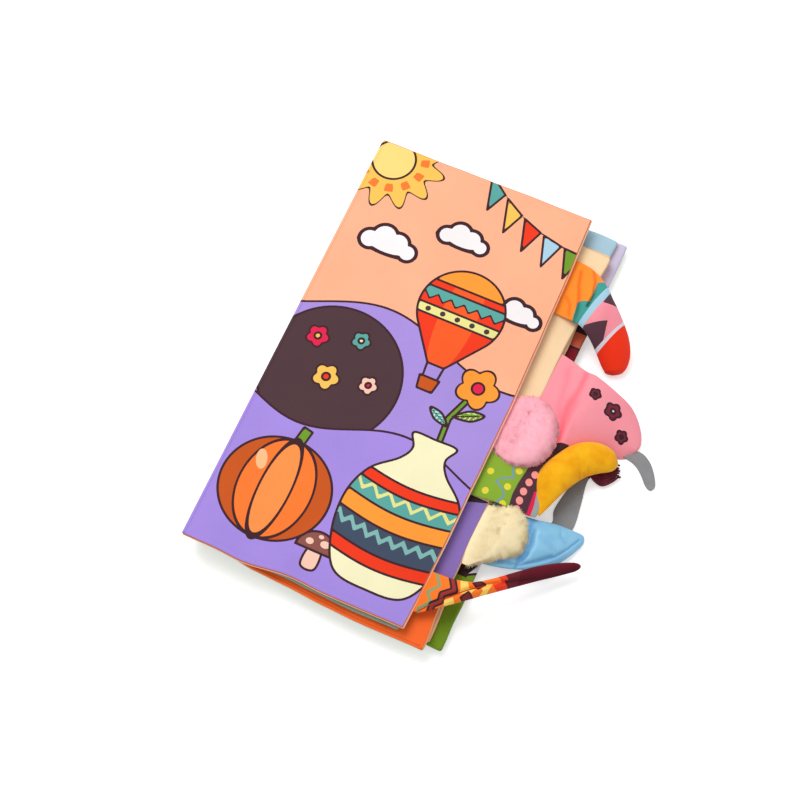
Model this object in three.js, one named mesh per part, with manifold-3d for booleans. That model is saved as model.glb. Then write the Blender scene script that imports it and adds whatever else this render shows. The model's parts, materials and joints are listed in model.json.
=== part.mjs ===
// Crinkle cloth book with soft tails sewn into its fore edge.
// Millimetres. X runs from the spine to the fore edge, Y up along the spine, Z up from the table.
// The origin is on the underside of the back cover, below the middle of the front cover.
import * as THREE from "three";
import Module from "manifold-3d";
import { mergeVertices } from "three/addons/utils/BufferGeometryUtils.js";

const wasm = await Module();
wasm.setup();

// The layers of one leaf: two cloth panels sewn face to face round a sheet of crinkle film
const cloth = 0.6;
const film = 1.1;
const layerGap = 0.3;
const leafGap = 0.4;
const seamAllowance = 3;
const cornerRadius = 2.4;
const foldWidth = 1.6;
const overrun = 1;
const cornerSteps = 5;
const foldSteps = 8;

// The closed book's front cover
const coverWidth = 115;
const coverHeight = 230;

// The leaves, from the table up. A leaf reaches from the middle line to its fore edge at mid height,
// and bow is how far its fore edge swells out, both as shares of the cover's width. Its height and
// how far it has shifted along the spine are shares of the cover's height. Skew is the angle in
// degrees that its sewing turns it by
const leaves = [
  {
    name: "back_cover", colors: [0xa98fdb, 0xa98fdb], skew: 1.1,
    reachShare: 0.666, heightShare: 0.987, shiftShare: 0.0096, bowShare: 0,
  },
  {
    name: "fourth_leaf", colors: [0xc4b4dc, 0x7a9a2a], skew: 1.1,
    reachShare: 0.678, heightShare: 0.995, shiftShare: 0.0104, bowShare: 0,
  },
  {
    name: "third_leaf", colors: [0xa9cfe0, 0xfbd3a5], skew: 1.3,
    reachShare: 0.629, heightShare: 0.973, shiftShare: 0.01, bowShare: 0,
  },
  {
    name: "second_leaf", colors: [0xfbd3a5, 0xf0602a], skew: 1.5,
    reachShare: 0.61, heightShare: 0.961, shiftShare: -0.0222, bowShare: 0,
  },
  {
    name: "first_leaf", colors: [0x9aa393, 0x9aa393], skew: 1.2,
    reachShare: 0.497, heightShare: 0.996, shiftShare: 0.0043, bowShare: 0,
  },
  {
    name: "front_cover", colors: [0xffb28f, 0xffb28f], skew: 0,
    reachShare: 0.5, heightShare: 1, shiftShare: 0, bowShare: 0.019,
  },
].map((leaf) => ({
  ...leaf,
  reach: leaf.reachShare * coverWidth,
  bow: leaf.bowShare * coverWidth,
  height: leaf.heightShare * coverHeight,
  shift: leaf.shiftShare * coverHeight,
}));
const spineToMiddle = coverWidth / 2;

// Soft tails: a sewn cloth shell round a wadding core, which turns at a line of thin cloth
const shellCloth = 0.6;
const neckThickness = 1.8;
const feltThickness = 1.6;
const turnClearance = 0.5;
const ribCount = 10;
const ringSides = 12;

// Each tail starts at a line that stands off the edge of the leaf it clears by tab, at the height
// along the spine called at. Its two edges run from that line to the tip, as shares of its length
// along X and Y. It rises to its thickness over riseShare, and sinks from its leaf to tipHeight
// between holdShare and settleShare of its way
const tails = {
  zigzag_tail: {
    leaf: "front_cover", clears: "front_cover", at: -94, tab: 0.9,
    length: 58.5, thickness: 8, tipHeight: 6,
    riseShare: 0.3, holdShare: 0.1, settleShare: 1,
    upperShares: [
      [0, 0.17], [0.156, 0.188], [0.315, 0.248], [0.468, 0.36], [0.66, 0.52], [0.89, 0.7],
      [0.99, 0.73],
    ],
    lowerShares: [[0, -0.19], [0.13, -0.08], [0.39, 0.13], [0.64, 0.36], [0.9, 0.59], [1, 0.695]],
  },
  banded_tail: {
    leaf: "first_leaf", clears: "front_cover", at: 77.5, tab: 0.9,
    length: 41, thickness: 11, tipHeight: 1,
    riseShare: 0.5, holdShare: 0.3, settleShare: 1,
    upperShares: [
      [0, 0.373], [0.156, 0.339], [0.363, 0.22], [0.546, 0.05], [0.741, -0.134], [0.888, -0.285],
      [0.985, -0.488], [0.99, -0.634], [0.932, -0.732],
    ],
    lowerShares: [
      [0, -0.378], [0.263, -0.422], [0.449, -0.517], [0.62, -0.646], [0.761, -0.761], [0.854, -0.783],
    ],
  },
  pink_plush_tail: {
    leaf: "first_leaf", clears: "front_cover", at: -1.8, tab: 0.9,
    length: 25, thickness: 9.5, tipHeight: 13.4,
    riseShare: 0.4, holdShare: 0, settleShare: 1,
    upperShares: [
      [0, 0.652], [0.216, 0.728], [0.456, 0.704], [0.696, 0.6], [0.896, 0.412], [0.99, 0.13],
      [1, 0.05],
    ],
    lowerShares: [
      [0, -0.628], [0.296, -0.656], [0.576, -0.648], [0.796, -0.544], [0.936, -0.348], [1, -0.108],
    ],
  },
  green_sleeve: {
    leaf: "first_leaf", clears: "front_cover", at: -30.3, tab: 0.9,
    length: 32, thickness: 3.2, tipHeight: 9.2,
    riseShare: 0.2, holdShare: 0.3, settleShare: 1,
    upperShares: [[0, 0.328], [0.294, 0.328], [0.606, 0.325], [0.725, 0.303]],
    lowerShares: [[0, -0.334], [0.294, -0.312], [0.606, -0.278], [0.967, -0.234]],
  },
  pink_flap: {
    leaf: "second_leaf", clears: "fourth_leaf", at: 20.5, tab: 4.4,
    length: 41, thickness: 7, tipHeight: 0.3,
    riseShare: 0.35, holdShare: 0.05, settleShare: 1,
    upperShares: [
      [0, 0.471], [0.263, 0.415], [0.544, 0.359], [0.707, 0.293],
      [0.854, 0.159], [0.966, 0.037], [0.99, -0.041],
    ],
    lowerShares: [
      [0, -0.466], [0.171, -0.437], [0.293, -0.332], [0.439, -0.232], [0.585, -0.205], [0.732, -0.222],
      [0.866, -0.2], [0.98, -0.105],
    ],
  },
  cream_plush_tail: {
    leaf: "second_leaf", clears: "second_leaf", at: -58, tab: 2,
    length: 21.3, thickness: 8, tipHeight: 11.4,
    riseShare: 0.45, holdShare: 0, settleShare: 1,
    upperShares: [[0, 0.751], [0.39, 0.817], [0.695, 0.775], [0.897, 0.535], [0.991, 0.225]],
    lowerShares: [
      [0, -0.779], [0.235, -0.563], [0.423, -0.427], [0.709, -0.254], [0.939, -0.075], [1, 0.094],
    ],
  },
  satin_fin: {
    leaf: "third_leaf", clears: "third_leaf", at: -53.5, tab: 0,
    length: 44.3, thickness: 6.2, tipHeight: 0.2,
    riseShare: 0.6, holdShare: 0.15, settleShare: 1,
    upperShares: [
      [0, 0.282], [0.181, 0.291], [0.316, 0.309], [0.474, 0.327], [0.623, 0.363], [0.822, 0.402],
      [0.944, 0.418], [0.993, 0.386],
    ],
    lowerShares: [
      [0, -0.361], [0.138, -0.341], [0.302, -0.309], [0.454, -0.253], [0.598, -0.174], [0.777, -0.043],
      [0.912, 0.147], [1, 0.332],
    ],
  },
  felt_strap: {
    leaf: "fourth_leaf", clears: "fourth_leaf", at: -44.5, tab: 2,
    length: 29, thickness: feltThickness, neck: feltThickness, tipHeight: 0,
    riseShare: 0.1, holdShare: 0, settleShare: 0.25,
    upperShares: [
      [0, 0.155], [0.393, 0.155], [0.583, 0.21], [0.676, 0.362],
      [0.679, 0.569], [0.721, 0.845], [0.786, 1.169],
    ],
    lowerShares: [
      [0, -0.155], [0.428, -0.148], [0.738, -0.052], [0.931, 0.155],
      [0.997, 0.431], [0.976, 0.81], [0.955, 1.162],
    ],
  },
};

// Pieces carried by a tail. anchorShares place each one's own zero point on the tail that it follows
const ends = {
  golden_tip: {
    follows: "green_sleeve", anchorShares: [0.725, 0.303],
    length: 34, thickness: 10.5, neck: 3.2,
    baseHeight: 8.6, tipHeight: 3.9, riseShare: 0.35, holdShare: 0.1, settleShare: 1,
    upperShares: [
      [0.026, 0.021], [0.018, 0.253], [0.109, 0.518], [0.271, 0.735], [0.491, 0.888], [0.697, 0.912],
      [0.868, 0.871], [0.968, 0.765],
    ],
    lowerShares: [
      [0.253, -0.479], [0.371, -0.191], [0.453, -0.021], [0.562, 0.194], [0.691, 0.394], [0.85, 0.509],
      [0.962, 0.621], [0.988, 0.706],
    ],
  },
  felt_hook: {
    follows: "pink_flap", anchorShares: [0.866, -0.207],
    length: 18.5, thickness: feltThickness, neck: feltThickness,
    baseHeight: 0.2, tipHeight: 0, riseShare: 0.2, holdShare: 0, settleShare: 1,
    upperShares: [
      [0.292, 0.184], [0.476, 0.162], [0.714, -0.016], [0.908, -0.292], [1, -0.524], [0.973, -0.654],
    ],
    lowerShares: [
      [0.043, -0.016], [0.227, -0.097], [0.378, -0.195], [0.541, -0.357], [0.751, -0.605],
      [0.897, -0.692],
    ],
  },
  tassel_binding: {
    follows: "felt_strap", anchorShares: [0.855, 1.224], length: 14, thickness: 2.2, neck: 2.2,
    baseHeight: 0, tipHeight: 0, riseShare: 0.2, holdShare: 0, settleShare: 1,
    upperShares: [[-0.16, -0.08], [-0.155, 0.01]],
    lowerShares: [[0.17, -0.09], [0.175, -0.005]],
  },
  tassel: {
    follows: "felt_strap", anchorShares: [0.855, 1.224], length: 14, thickness: 3.4, neck: 2.2,
    baseHeight: 0, tipHeight: 0, riseShare: 0.3, holdShare: 0, settleShare: 1,
    upperShares: [[-0.15, 0.045], [0.007, 0.529], [0.293, 0.871], [0.65, 1], [0.907, 0.871]],
    lowerShares: [[0.179, 0.03], [0.364, 0.03], [0.636, 0.071], [0.893, 0.314], [0.993, 0.643]],
  },
};

// Shares of a soft piece's way, from its turning line to its tip
const closingShare = 0.93;
const zigzagTipShare = 0.6;
const joinShare = 0.006;
const finTurnShare = 0.45;
const finGapShare = 0.022;
const waddingColor = 0xf4f2ee;

const leafThickness = 2 * cloth + film + 2 * layerGap;
const pitch = leafThickness + leafGap;
const leafBottom = (name) => pitch * leaves.findIndex((leaf) => leaf.name === name);
const leafMiddle = (name) => leafBottom(name) + leafThickness / 2;
const leafNamed = (name) => leaves.find((leaf) => leaf.name === name);
const slope = (leaf) => Math.tan(THREE.MathUtils.degToRad(leaf.skew));

function foreEdge(leaf, y) {
  const share = (2 * (y - leaf.shift)) / leaf.height;
  return leaf.reach + (y - leaf.shift) * slope(leaf) + leaf.bow * Math.max(0, 1 - share * share);
}

function clothMaterial(color, roughness) {
  return new THREE.MeshStandardMaterial({ color, roughness, metalness: 0 });
}

function part(name, geometry, color, roughness = 0.9) {
  const mesh = new THREE.Mesh(geometry, clothMaterial(color, roughness));
  mesh.name = name;
  return mesh;
}

// The leaf's outline, drawn in from its edges by inset, with rounded corners
function leafOutline(leaf, inset) {
  const left = -spineToMiddle + inset;
  const half = leaf.height / 2 - inset;
  const drop = (x) => -(x + spineToMiddle) * slope(leaf) + leaf.shift;
  const side = (y) => leaf.reach + (y - leaf.shift) * slope(leaf) - inset;
  const corner = (x, sign) => new THREE.Vector2(x, sign * half + drop(x));
  const corners = [
    corner(left, -1),
    corner(side(-half), -1),
    corner(side(half), 1),
    corner(left, 1),
  ];
  const radius = Math.max(cornerRadius - inset, cloth);
  const shape = new THREE.Shape();
  corners.forEach((point, i) => {
    const before = corners[(i + 3) % 4];
    const after = corners[(i + 1) % 4];
    const start = point.clone().lerp(before, radius / point.distanceTo(before));
    const end = point.clone().lerp(after, radius / point.distanceTo(after));
    if (i === 0) shape.moveTo(start.x, start.y);
    else if (i === 2 && leaf.bow > 0) {
      shape.quadraticCurveTo(start.x + 2 * leaf.bow, start.y / 2 + corners[1].y / 2, start.x, start.y);
    } else shape.lineTo(start.x, start.y);
    shape.quadraticCurveTo(point.x, point.y, end.x, end.y);
  });
  shape.closePath();
  return shape;
}

function slab(shape, depth, lift = 0) {
  const settings = { depth, bevelEnabled: false, curveSegments: cornerSteps };
  return new THREE.ExtrudeGeometry(shape, settings).translate(0, 0, lift);
}

function solidOf(geometry) {
  const bare = geometry.clone();
  bare.deleteAttribute("normal");
  bare.deleteAttribute("uv");
  const merged = mergeVertices(bare);
  const mesh = new wasm.Mesh({
    numProp: 3,
    vertProperties: merged.attributes.position.array,
    triVerts: new Uint32Array(merged.index.array),
  });
  return new wasm.Manifold(mesh);
}

function geometryOf(solid) {
  const mesh = solid.getMesh();
  const geometry = new THREE.BufferGeometry();
  geometry.setAttribute("position", new THREE.BufferAttribute(mesh.vertProperties, 3));
  geometry.setIndex(new THREE.BufferAttribute(mesh.triVerts, 1));
  geometry.computeVertexNormals();
  return geometry;
}

// A panel is a sheet with its seam allowance turned in as a rim, which meets the other panel's rim
function panel(leaf, facesUp) {
  const height = (leafThickness - layerGap) / 2;
  const sheet = slab(leafOutline(leaf, 0), height, facesUp ? leafThickness - height : 0);
  const pocketHeight = height - cloth + overrun;
  const pocketFloor = facesUp ? leafThickness - height - overrun : cloth;
  const pocket = slab(leafOutline(leaf, seamAllowance), pocketHeight, pocketFloor);
  return geometryOf(solidOf(sheet).subtract(solidOf(pocket)));
}

// The folded cloth at the spine, a half-round strip along the whole spine edge
function spineFold(leaf) {
  const profile = new THREE.Shape();
  profile.moveTo(0, 0);
  profile.lineTo(0, leafThickness);
  const half = leafThickness / 2;
  profile.absellipse(0, half, foldWidth, half, Math.PI / 2, (3 * Math.PI) / 2);
  const depth = leaf.height - 2 * cornerRadius;
  const settings = { depth, bevelEnabled: false, curveSegments: foldSteps };
  const geometry = new THREE.ExtrudeGeometry(profile, settings).rotateX(Math.PI / 2);
  return geometry.translate(-spineToMiddle - layerGap, leaf.shift + depth / 2, 0);
}

function makeLeaf(leaf) {
  const group = new THREE.Group();
  const core = slab(leafOutline(leaf, seamAllowance + layerGap), film, cloth + layerGap);
  group.add(
    part(`${leaf.name}_front_panel`, panel(leaf, true), leaf.colors[0]),
    part(`${leaf.name}_back_panel`, panel(leaf, false), leaf.colors[1]),
    part(`${leaf.name}_crinkle_film`, core, 0xe8e8e2, 0.35),
    part(`${leaf.name}_spine_fold`, spineFold(leaf), leaf.colors[0]),
  );
  group.position.z = leafBottom(leaf.name);
  return group;
}

const ease = (from, to, t) => THREE.MathUtils.smoothstep(t, from, to);

function edgeCurve(shares, length) {
  const points = shares.map(([along, across]) => new THREE.Vector3(along * length, across * length, 0));
  return new THREE.CatmullRomCurve3(points, false, "centripetal");
}

// Where a tail's line of thin cloth lies: past its own leaf's fore edge and that of the leaf it clears
function turningLine(tail) {
  const half = tail.upperShares[0][1] * tail.length;
  const edges = [tail.leaf, tail.clears].flatMap((name) => {
    const leaf = leafNamed(name);
    return [tail.at - half, tail.at, tail.at + half].map((y) => foreEdge(leaf, y));
  });
  return Math.max(...edges) + tail.tab;
}

// A tail in the book's frame, with its turning line half way through the thickness of its leaf
function tailFrame(tail) {
  const neck = tail.neck ?? neckThickness;
  const baseHeight = leafMiddle(tail.leaf) - neck / 2;
  return { ...tail, neck, baseHeight, x: turningLine(tail) + turnClearance, y: tail.at };
}

function endFrame(end) {
  const carrier = tailFrame(tails[end.follows]);
  const [along, across] = end.anchorShares;
  return { ...end, x: carrier.x + along * carrier.length, y: carrier.y + across * carrier.length };
}

// The cross-sections of a soft piece from one share of its way to another, drawn in by inset
function ribs(soft, from, to, inset = 0, count = ribCount) {
  const upper = edgeCurve(soft.upperShares, soft.length);
  const lower = edgeCurve(soft.lowerShares, soft.length);
  const width = (t) => upper.getPointAt(t).distanceTo(lower.getPointAt(t));
  const widest = Math.max(...Array.from({ length: ribCount }, (_, i) => width(i / ribCount)));
  return Array.from({ length: count + 1 }, (_, i) => {
    const t = from + ((to - from) * i) / count;
    const start = upper.getPointAt(t);
    const side = start.clone().sub(lower.getPointAt(t));
    const fullness = Math.sqrt(side.length() / widest);
    const rise = ease(0, soft.riseShare, t);
    const thick = Math.max(soft.neck, soft.thickness * fullness) * rise + soft.neck * (1 - rise);
    const sink = ease(soft.holdShare, soft.settleShare, t);
    const middle = start.clone().addScaledVector(side, -1 / 2);
    middle.z = soft.baseHeight + (soft.tipHeight - soft.baseHeight) * sink + thick / 2;
    return ring(middle, side, side.length() / 2 - inset, thick / 2 - inset);
  });
}

function ring(middle, side, halfWidth, halfThickness) {
  const across = side.clone().normalize();
  return Array.from({ length: ringSides }, (_, i) => {
    const turn = (2 * Math.PI * i) / ringSides;
    const point = middle.clone().addScaledVector(across, halfWidth * Math.cos(turn));
    return point.setZ(middle.z + halfThickness * Math.sin(turn));
  });
}

// Skins a list of rings. The ends are capped, or the last ring joins the first to make a sleeve
function skin(rings, joined = false) {
  const n = ringSides;
  const spans = joined ? rings.length : rings.length - 1;
  const faces = [];
  for (let r = 0; r < spans; r += 1) {
    const next = (r + 1) % rings.length;
    for (let i = 0; i < n; i += 1) {
      const j = (i + 1) % n;
      faces.push(r * n + i, r * n + j, next * n + j, r * n + i, next * n + j, next * n + i);
    }
  }
  const last = (rings.length - 1) * n;
  for (let i = 1; i < n - 1 && !joined; i += 1) {
    faces.push(0, i + 1, i, last, last + i, last + i + 1);
  }
  const points = rings.flat();
  const corner = (k) => points[faces[k]];
  let volume = 0;
  for (let k = 0; k < faces.length; k += 3) {
    volume += corner(k).dot(corner(k + 1).clone().cross(corner(k + 2)));
  }
  if (volume < 0) faces.reverse();
  const geometry = new THREE.BufferGeometry().setFromPoints(points);
  geometry.setIndex(faces);
  geometry.computeVertexNormals();
  return geometry;
}

// The ribs of the hollow in a shell that is closed at its tip
function hollowRibs(soft, from, to, inset) {
  return ribs(soft, from, from + (to - from) * closingShare, inset, ribCount - 1);
}

// A sewn shell open at its start and closed at its tip
function shell(soft, from, to) {
  return skin([...hollowRibs(soft, from, to, shellCloth).reverse(), ...ribs(soft, from, to)]);
}

function sleeve(soft, from, to) {
  return skin([...ribs(soft, from, to), ...ribs(soft, from, to, shellCloth).reverse()], true);
}

// The wadding in a shell, which keeps clear of it all round
function wadding(soft, from, to) {
  return skin(hollowRibs(soft, from, to, shellCloth + layerGap).slice(1, -1).reverse());
}

function placed(soft, meshes) {
  const group = new THREE.Group();
  group.position.set(soft.x, soft.y, 0);
  group.add(...meshes);
  return group;
}

// The end of the tail that is sewn between the panels of its leaf
function tab(name, tail, color) {
  const leaf = leafNamed(tail.leaf);
  const edge = (share) => tail.y + share * tail.length;
  const [high, low] = [edge(tail.upperShares[0][1]), edge(tail.lowerShares[0][1])];
  const end = tail.x - 2 * turnClearance;
  const shape = new THREE.Shape([
    new THREE.Vector2(foreEdge(leaf, low) + layerGap, low),
    new THREE.Vector2(end, low),
    new THREE.Vector2(end, high),
    new THREE.Vector2(foreEdge(leaf, high) + layerGap, high),
  ]);
  return part(`${name}_tab`, slab(shape, tail.neck, tail.baseHeight), color);
}

const book = new THREE.Group();
book.name = "crinkle_cloth_book";
leaves.forEach((leaf) => book.add(makeLeaf(leaf)));

function stuffedTail(name, color) {
  const tail = tailFrame(tails[name]);
  book.add(
    tab(name, tail, color),
    placed(tail, [
      part(`${name}_shell`, shell(tail, 0, 1), color),
      part(`${name}_wadding`, wadding(tail, 0, 1), waddingColor),
    ]),
  );
}

stuffedTail("banded_tail", 0xff8a2b);
stuffedTail("pink_plush_tail", 0xffb9c6);
stuffedTail("pink_flap", 0xff98a3);
stuffedTail("cream_plush_tail", 0xf2e6c0);

// The zigzag tail is a printed sleeve with a dark tip, and one wadding runs through both
const zigzag = tailFrame(tails.zigzag_tail);
const zigzagWadding = [
  ...ribs(zigzag, 0, zigzagTipShare - joinShare, shellCloth + layerGap).slice(1),
  ...hollowRibs(zigzag, zigzagTipShare, 1, shellCloth + layerGap).slice(0, -1),
];
book.add(
  tab("zigzag_tail", zigzag, 0xf5701e),
  placed(zigzag, [
    part("zigzag_tail_sleeve", sleeve(zigzag, 0, zigzagTipShare - joinShare), 0xf5701e),
    part("zigzag_tail_tip", shell(zigzag, zigzagTipShare, 1), 0x5e1220),
    part("zigzag_tail_wadding", skin(zigzagWadding.reverse()), waddingColor),
  ]),
);

// The golden tail is a flat printed sleeve that holds a curved stuffed tip
const greenSleeve = tailFrame(tails.green_sleeve);
const golden = endFrame(ends.golden_tip);
book.add(
  tab("green_sleeve", greenSleeve, 0x7fb22f),
  placed(greenSleeve, [part("green_sleeve", sleeve(greenSleeve, 0, 1), 0x7fb22f)]),
  placed(golden, [
    part("golden_tip_shell", shell(golden, 0, 1), 0xf8b31f),
    part("golden_tip_wadding", wadding(golden, 0, 1), waddingColor),
  ]),
);

const hook = endFrame(ends.felt_hook);
book.add(placed(hook, [part("felt_hook", skin(ribs(hook, 0, 1)), 0x84888a)]));

// The fin's base lies under the cream tail, and its tip turns just outside it
const fin = { ...tailFrame(tails.satin_fin), x: turningLine(tails.satin_fin) + layerGap };
book.add(
  placed(fin, [
    part("satin_fin_base", sleeve(fin, 0, finTurnShare - finGapShare), 0x6fb4dc, 0.4),
    part("satin_fin_tip_shell", shell(fin, finTurnShare, 1), 0x6fb4dc, 0.4),
    part("satin_fin_tip_wadding", wadding(fin, finTurnShare, 1), waddingColor),
  ]),
);

// The felt strap bends round to its tassel
const strap = tailFrame(tails.felt_strap);
const binding = endFrame(ends.tassel_binding);
const tassel = endFrame(ends.tassel);
book.add(
  tab("felt_strap", strap, 0x84888a),
  placed(strap, [part("felt_strap", skin(ribs(strap, 0, 1, 0, 2 * ribCount)), 0x84888a)]),
  placed(binding, [part("tassel_binding", skin(ribs(binding, 0, 1, 0, 1)), 0x4a0d18)]),
  placed(tassel, [part("tassel", skin(ribs(tassel, 0, 1)), 0x5e1220)]),
);

export default book;
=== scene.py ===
# %% [markdown]
# A crinkle cloth book, closed, with soft tails sewn into its fore edge
#
# This lesson dresses a finished CAD model in Blender. The book is a stack of six padded cloth leaves.
# Each leaf is two printed panels sewn round a sheet of crinkle film. Eight soft tails stick out on the
# right: printed sleeves, plush pads, a satin fin, a felt strap with a yarn tassel. The CAD model says
# where everything is and how it turns. Here each piece gets its soft form, its print and its weave.

import json
import math

import bpy
import numpy as np
from mathutils import Matrix, Vector


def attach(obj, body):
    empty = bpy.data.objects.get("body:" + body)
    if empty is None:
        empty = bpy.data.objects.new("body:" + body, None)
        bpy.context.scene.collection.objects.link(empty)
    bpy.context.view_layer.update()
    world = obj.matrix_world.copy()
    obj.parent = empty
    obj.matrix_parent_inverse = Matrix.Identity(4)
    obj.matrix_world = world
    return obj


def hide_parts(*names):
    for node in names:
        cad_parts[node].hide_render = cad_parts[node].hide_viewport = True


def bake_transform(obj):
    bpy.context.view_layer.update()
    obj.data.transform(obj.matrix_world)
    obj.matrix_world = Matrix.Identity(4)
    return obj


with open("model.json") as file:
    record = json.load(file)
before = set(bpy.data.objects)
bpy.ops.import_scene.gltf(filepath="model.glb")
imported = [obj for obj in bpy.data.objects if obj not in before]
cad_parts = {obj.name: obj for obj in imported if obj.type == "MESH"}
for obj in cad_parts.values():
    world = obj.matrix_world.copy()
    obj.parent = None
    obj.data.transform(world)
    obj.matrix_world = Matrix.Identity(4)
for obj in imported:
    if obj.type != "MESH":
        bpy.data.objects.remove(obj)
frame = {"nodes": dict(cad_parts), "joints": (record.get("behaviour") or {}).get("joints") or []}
nodes = frame["nodes"]
joints = {joint["child"]: joint for joint in frame["joints"]}
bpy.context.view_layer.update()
MM = 0.001

# %% [markdown]
# The camera stands where the photographer stood. Its place was solved from the four corners of the
# front cover, so it is given as an angle round the book, an angle above the table, a distance, and a
# small roll about the line of sight. All lengths in this file are millimetres and are turned into
# Blender's metres in one place, when a mesh or a light is made.

# %% Camera
VIEW_AZIMUTH = 30.944
VIEW_ELEVATION = 69.446
VIEW_ROLL = -6.822
VIEW_DISTANCE = 899.874
VIEW_TARGET = np.array([4.688, -6.317, 0.0])
FOCAL_PIXELS = 1800
FRAME_PIXELS = 800
SENSOR = 36


def view_axes():
    """Right, up and backward unit vectors of the camera, turned about the line of sight by the roll."""
    a, e, r = (math.radians(x) for x in (VIEW_AZIMUTH, VIEW_ELEVATION, VIEW_ROLL))
    back = np.array([math.sin(a) * math.cos(e), -math.cos(a) * math.cos(e), math.sin(e)])
    level = np.array([math.cos(a), math.sin(a), 0.0])
    upright = np.cross(back, level)
    right = math.cos(r) * level + math.sin(r) * upright
    up = -math.sin(r) * level + math.cos(r) * upright
    return right, up, back


def place_camera():
    """A camera on the backward axis, its distance from the target as solved."""
    right, up, back = view_axes()
    data = bpy.data.cameras.new("photo_camera")
    data.sensor_width = SENSOR
    data.lens = SENSOR * FOCAL_PIXELS / FRAME_PIXELS
    camera = bpy.data.objects.new("photo_camera", data)
    turn = Matrix(np.stack([right, up, back], axis=1).tolist()).to_4x4()
    camera.matrix_world = Matrix.Translation((VIEW_TARGET + back * VIEW_DISTANCE) * MM) @ turn
    bpy.context.scene.collection.objects.link(camera)
    bpy.context.scene.camera = camera
    return camera


camera = place_camera()
print("lens", round(camera.data.lens, 1), "mm")

# %% [markdown]
# Materials are graphs of nodes. Three small helpers keep them readable. One turns an sRGB hex colour
# into the linear numbers that Blender wants. One adds any node with its settings and links. One gives
# the scale of a texture from the real size of its pattern, so a weave is written in millimetres.


# %% Material helpers
def linear(hex_colour):
    """An sRGB hex colour as linear RGBA: each channel is undone from its gamma curve."""
    channels = [int(hex_colour[i : i + 2], 16) / 255 for i in (1, 3, 5)]
    return (*[c / 12.92 if c <= 0.04045 else ((c + 0.055) / 1.055) ** 2.4 for c in channels], 1)


def add(tree, kind, inputs=None, **settings):
    """Adds one node. Settings are its own properties, and inputs are links or plain values by socket."""
    made = tree.nodes.new(f"ShaderNode{kind}")
    for key, value in settings.items():
        setattr(made, key, value)
    for key, value in (inputs or {}).items():
        if isinstance(value, bpy.types.NodeSocket):
            tree.links.new(value, made.inputs[key])
        else:
            made.inputs[key].default_value = value
    return made


def mix(tree, share, below, above, blend="MIX"):
    """Colour below where share is 0 and above where it is 1."""
    inputs = {0: share, 6: below, 7: above}
    return add(tree, "Mix", inputs, data_type="RGBA", blend_type=blend).outputs[2]


def noise(tree, size, detail=2.0, roughness=0.5):
    """Cloudy noise whose blotches are about size millimetres across."""
    where = add(tree, "TexCoord").outputs["Object"]
    inputs = {"Vector": where, "Scale": 1 / (size * MM), "Detail": detail, "Roughness": roughness}
    return add(tree, "TexNoise", inputs).outputs[0]


def threads(tree, period, along):
    """Parallel threads, one each period millimetres. A wave texture's own period is 2 pi / 20."""
    where = add(tree, "TexCoord").outputs["Object"]
    inputs = {"Vector": where, "Scale": 2 * math.pi / 20 / (period * MM)}
    settings = {"wave_type": "BANDS", "bands_direction": along, "wave_profile": "SIN"}
    return add(tree, "TexWave", inputs, **settings).outputs[1]


def new_material(name):
    """An empty material, and the graph inside it."""
    material = bpy.data.materials.new(name)
    material.use_nodes = True
    material.node_tree.nodes.clear()
    return material, material.node_tree


def close(tree, shader):
    """Links the last shader to the material's output."""
    tree.links.new(shader, add(tree, "OutputMaterial").inputs["Surface"])


# %% [markdown]
# The scene has a plain pale floor and soft light. A large lamp stands past the spine, because the
# photograph's shadows fall to the right, and the pale world fills the rest. White cloth then renders
# about as white as it is written. The floor looks white to the camera and still keeps the shadow.

# %% Floor and light
FLOOR_SIDE = 6000
FLOOR_COLOUR = "#F4F4F4"
FLOOR_GLOW = 0.42
KEY_PLACE = np.array([-340.0, 280.0, 930.0])
KEY_AIM = np.array([20.0, 0.0, 0.0])
KEY_SIDE = 620
KEY_WATTS = 6.0
SKY_STRENGTH = 0.77


def lay_floor():
    """One flat square at table height. To camera rays it adds a glow, so it reads as white paper."""
    half = FLOOR_SIDE * MM / 2
    mesh = bpy.data.meshes.new("floor")
    corners = [(-half, -half, 0), (half, -half, 0), (half, half, 0), (-half, half, 0)]
    mesh.from_pydata(corners, [], [(0, 1, 2, 3)])
    floor = bpy.data.objects.new("floor", mesh)
    bpy.context.scene.collection.objects.link(floor)
    material, tree = new_material("matte_white_table")
    paper = add(tree, "BsdfDiffuse", {"Color": linear(FLOOR_COLOUR)}).outputs[0]
    seen = add(tree, "LightPath").outputs["Is Camera Ray"]
    strength = add(tree, "Math", {0: seen, 1: FLOOR_GLOW}, operation="MULTIPLY").outputs[0]
    glow = add(tree, "Emission", {"Strength": strength}).outputs[0]
    close(tree, add(tree, "AddShader", {0: paper, 1: glow}).outputs[0])
    mesh.materials.append(material)


def light_scene():
    """One large square lamp aimed at the book, and an even white sky."""
    data = bpy.data.lights.new("window_light", "AREA")
    data.size = KEY_SIDE * MM
    data.energy = KEY_WATTS
    lamp = bpy.data.objects.new("window_light", data)
    lamp.location = KEY_PLACE * MM
    lamp.rotation_euler = Vector(KEY_AIM - KEY_PLACE).to_track_quat("-Z", "Y").to_euler()
    bpy.context.scene.collection.objects.link(lamp)
    world = bpy.data.worlds.new("pale_room")
    world.use_nodes = True
    tree = world.node_tree
    tree.nodes.clear()
    path = add(tree, "LightPath")
    direct = add(tree, "Math", {0: path.outputs[0], 1: path.outputs[3]}, operation="MAXIMUM")
    strength = add(tree, "MapRange", {0: direct.outputs[0], 3: SKY_STRENGTH, 4: 1.0}).outputs[0]
    sky = add(tree, "Background", {"Strength": strength})
    tree.links.new(sky.outputs[0], add(tree, "OutputWorld").inputs[0])
    bpy.context.scene.world = world
    bpy.context.scene.view_settings.view_transform = "Standard"


lay_floor()
light_scene()
print("stage ready")

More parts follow.
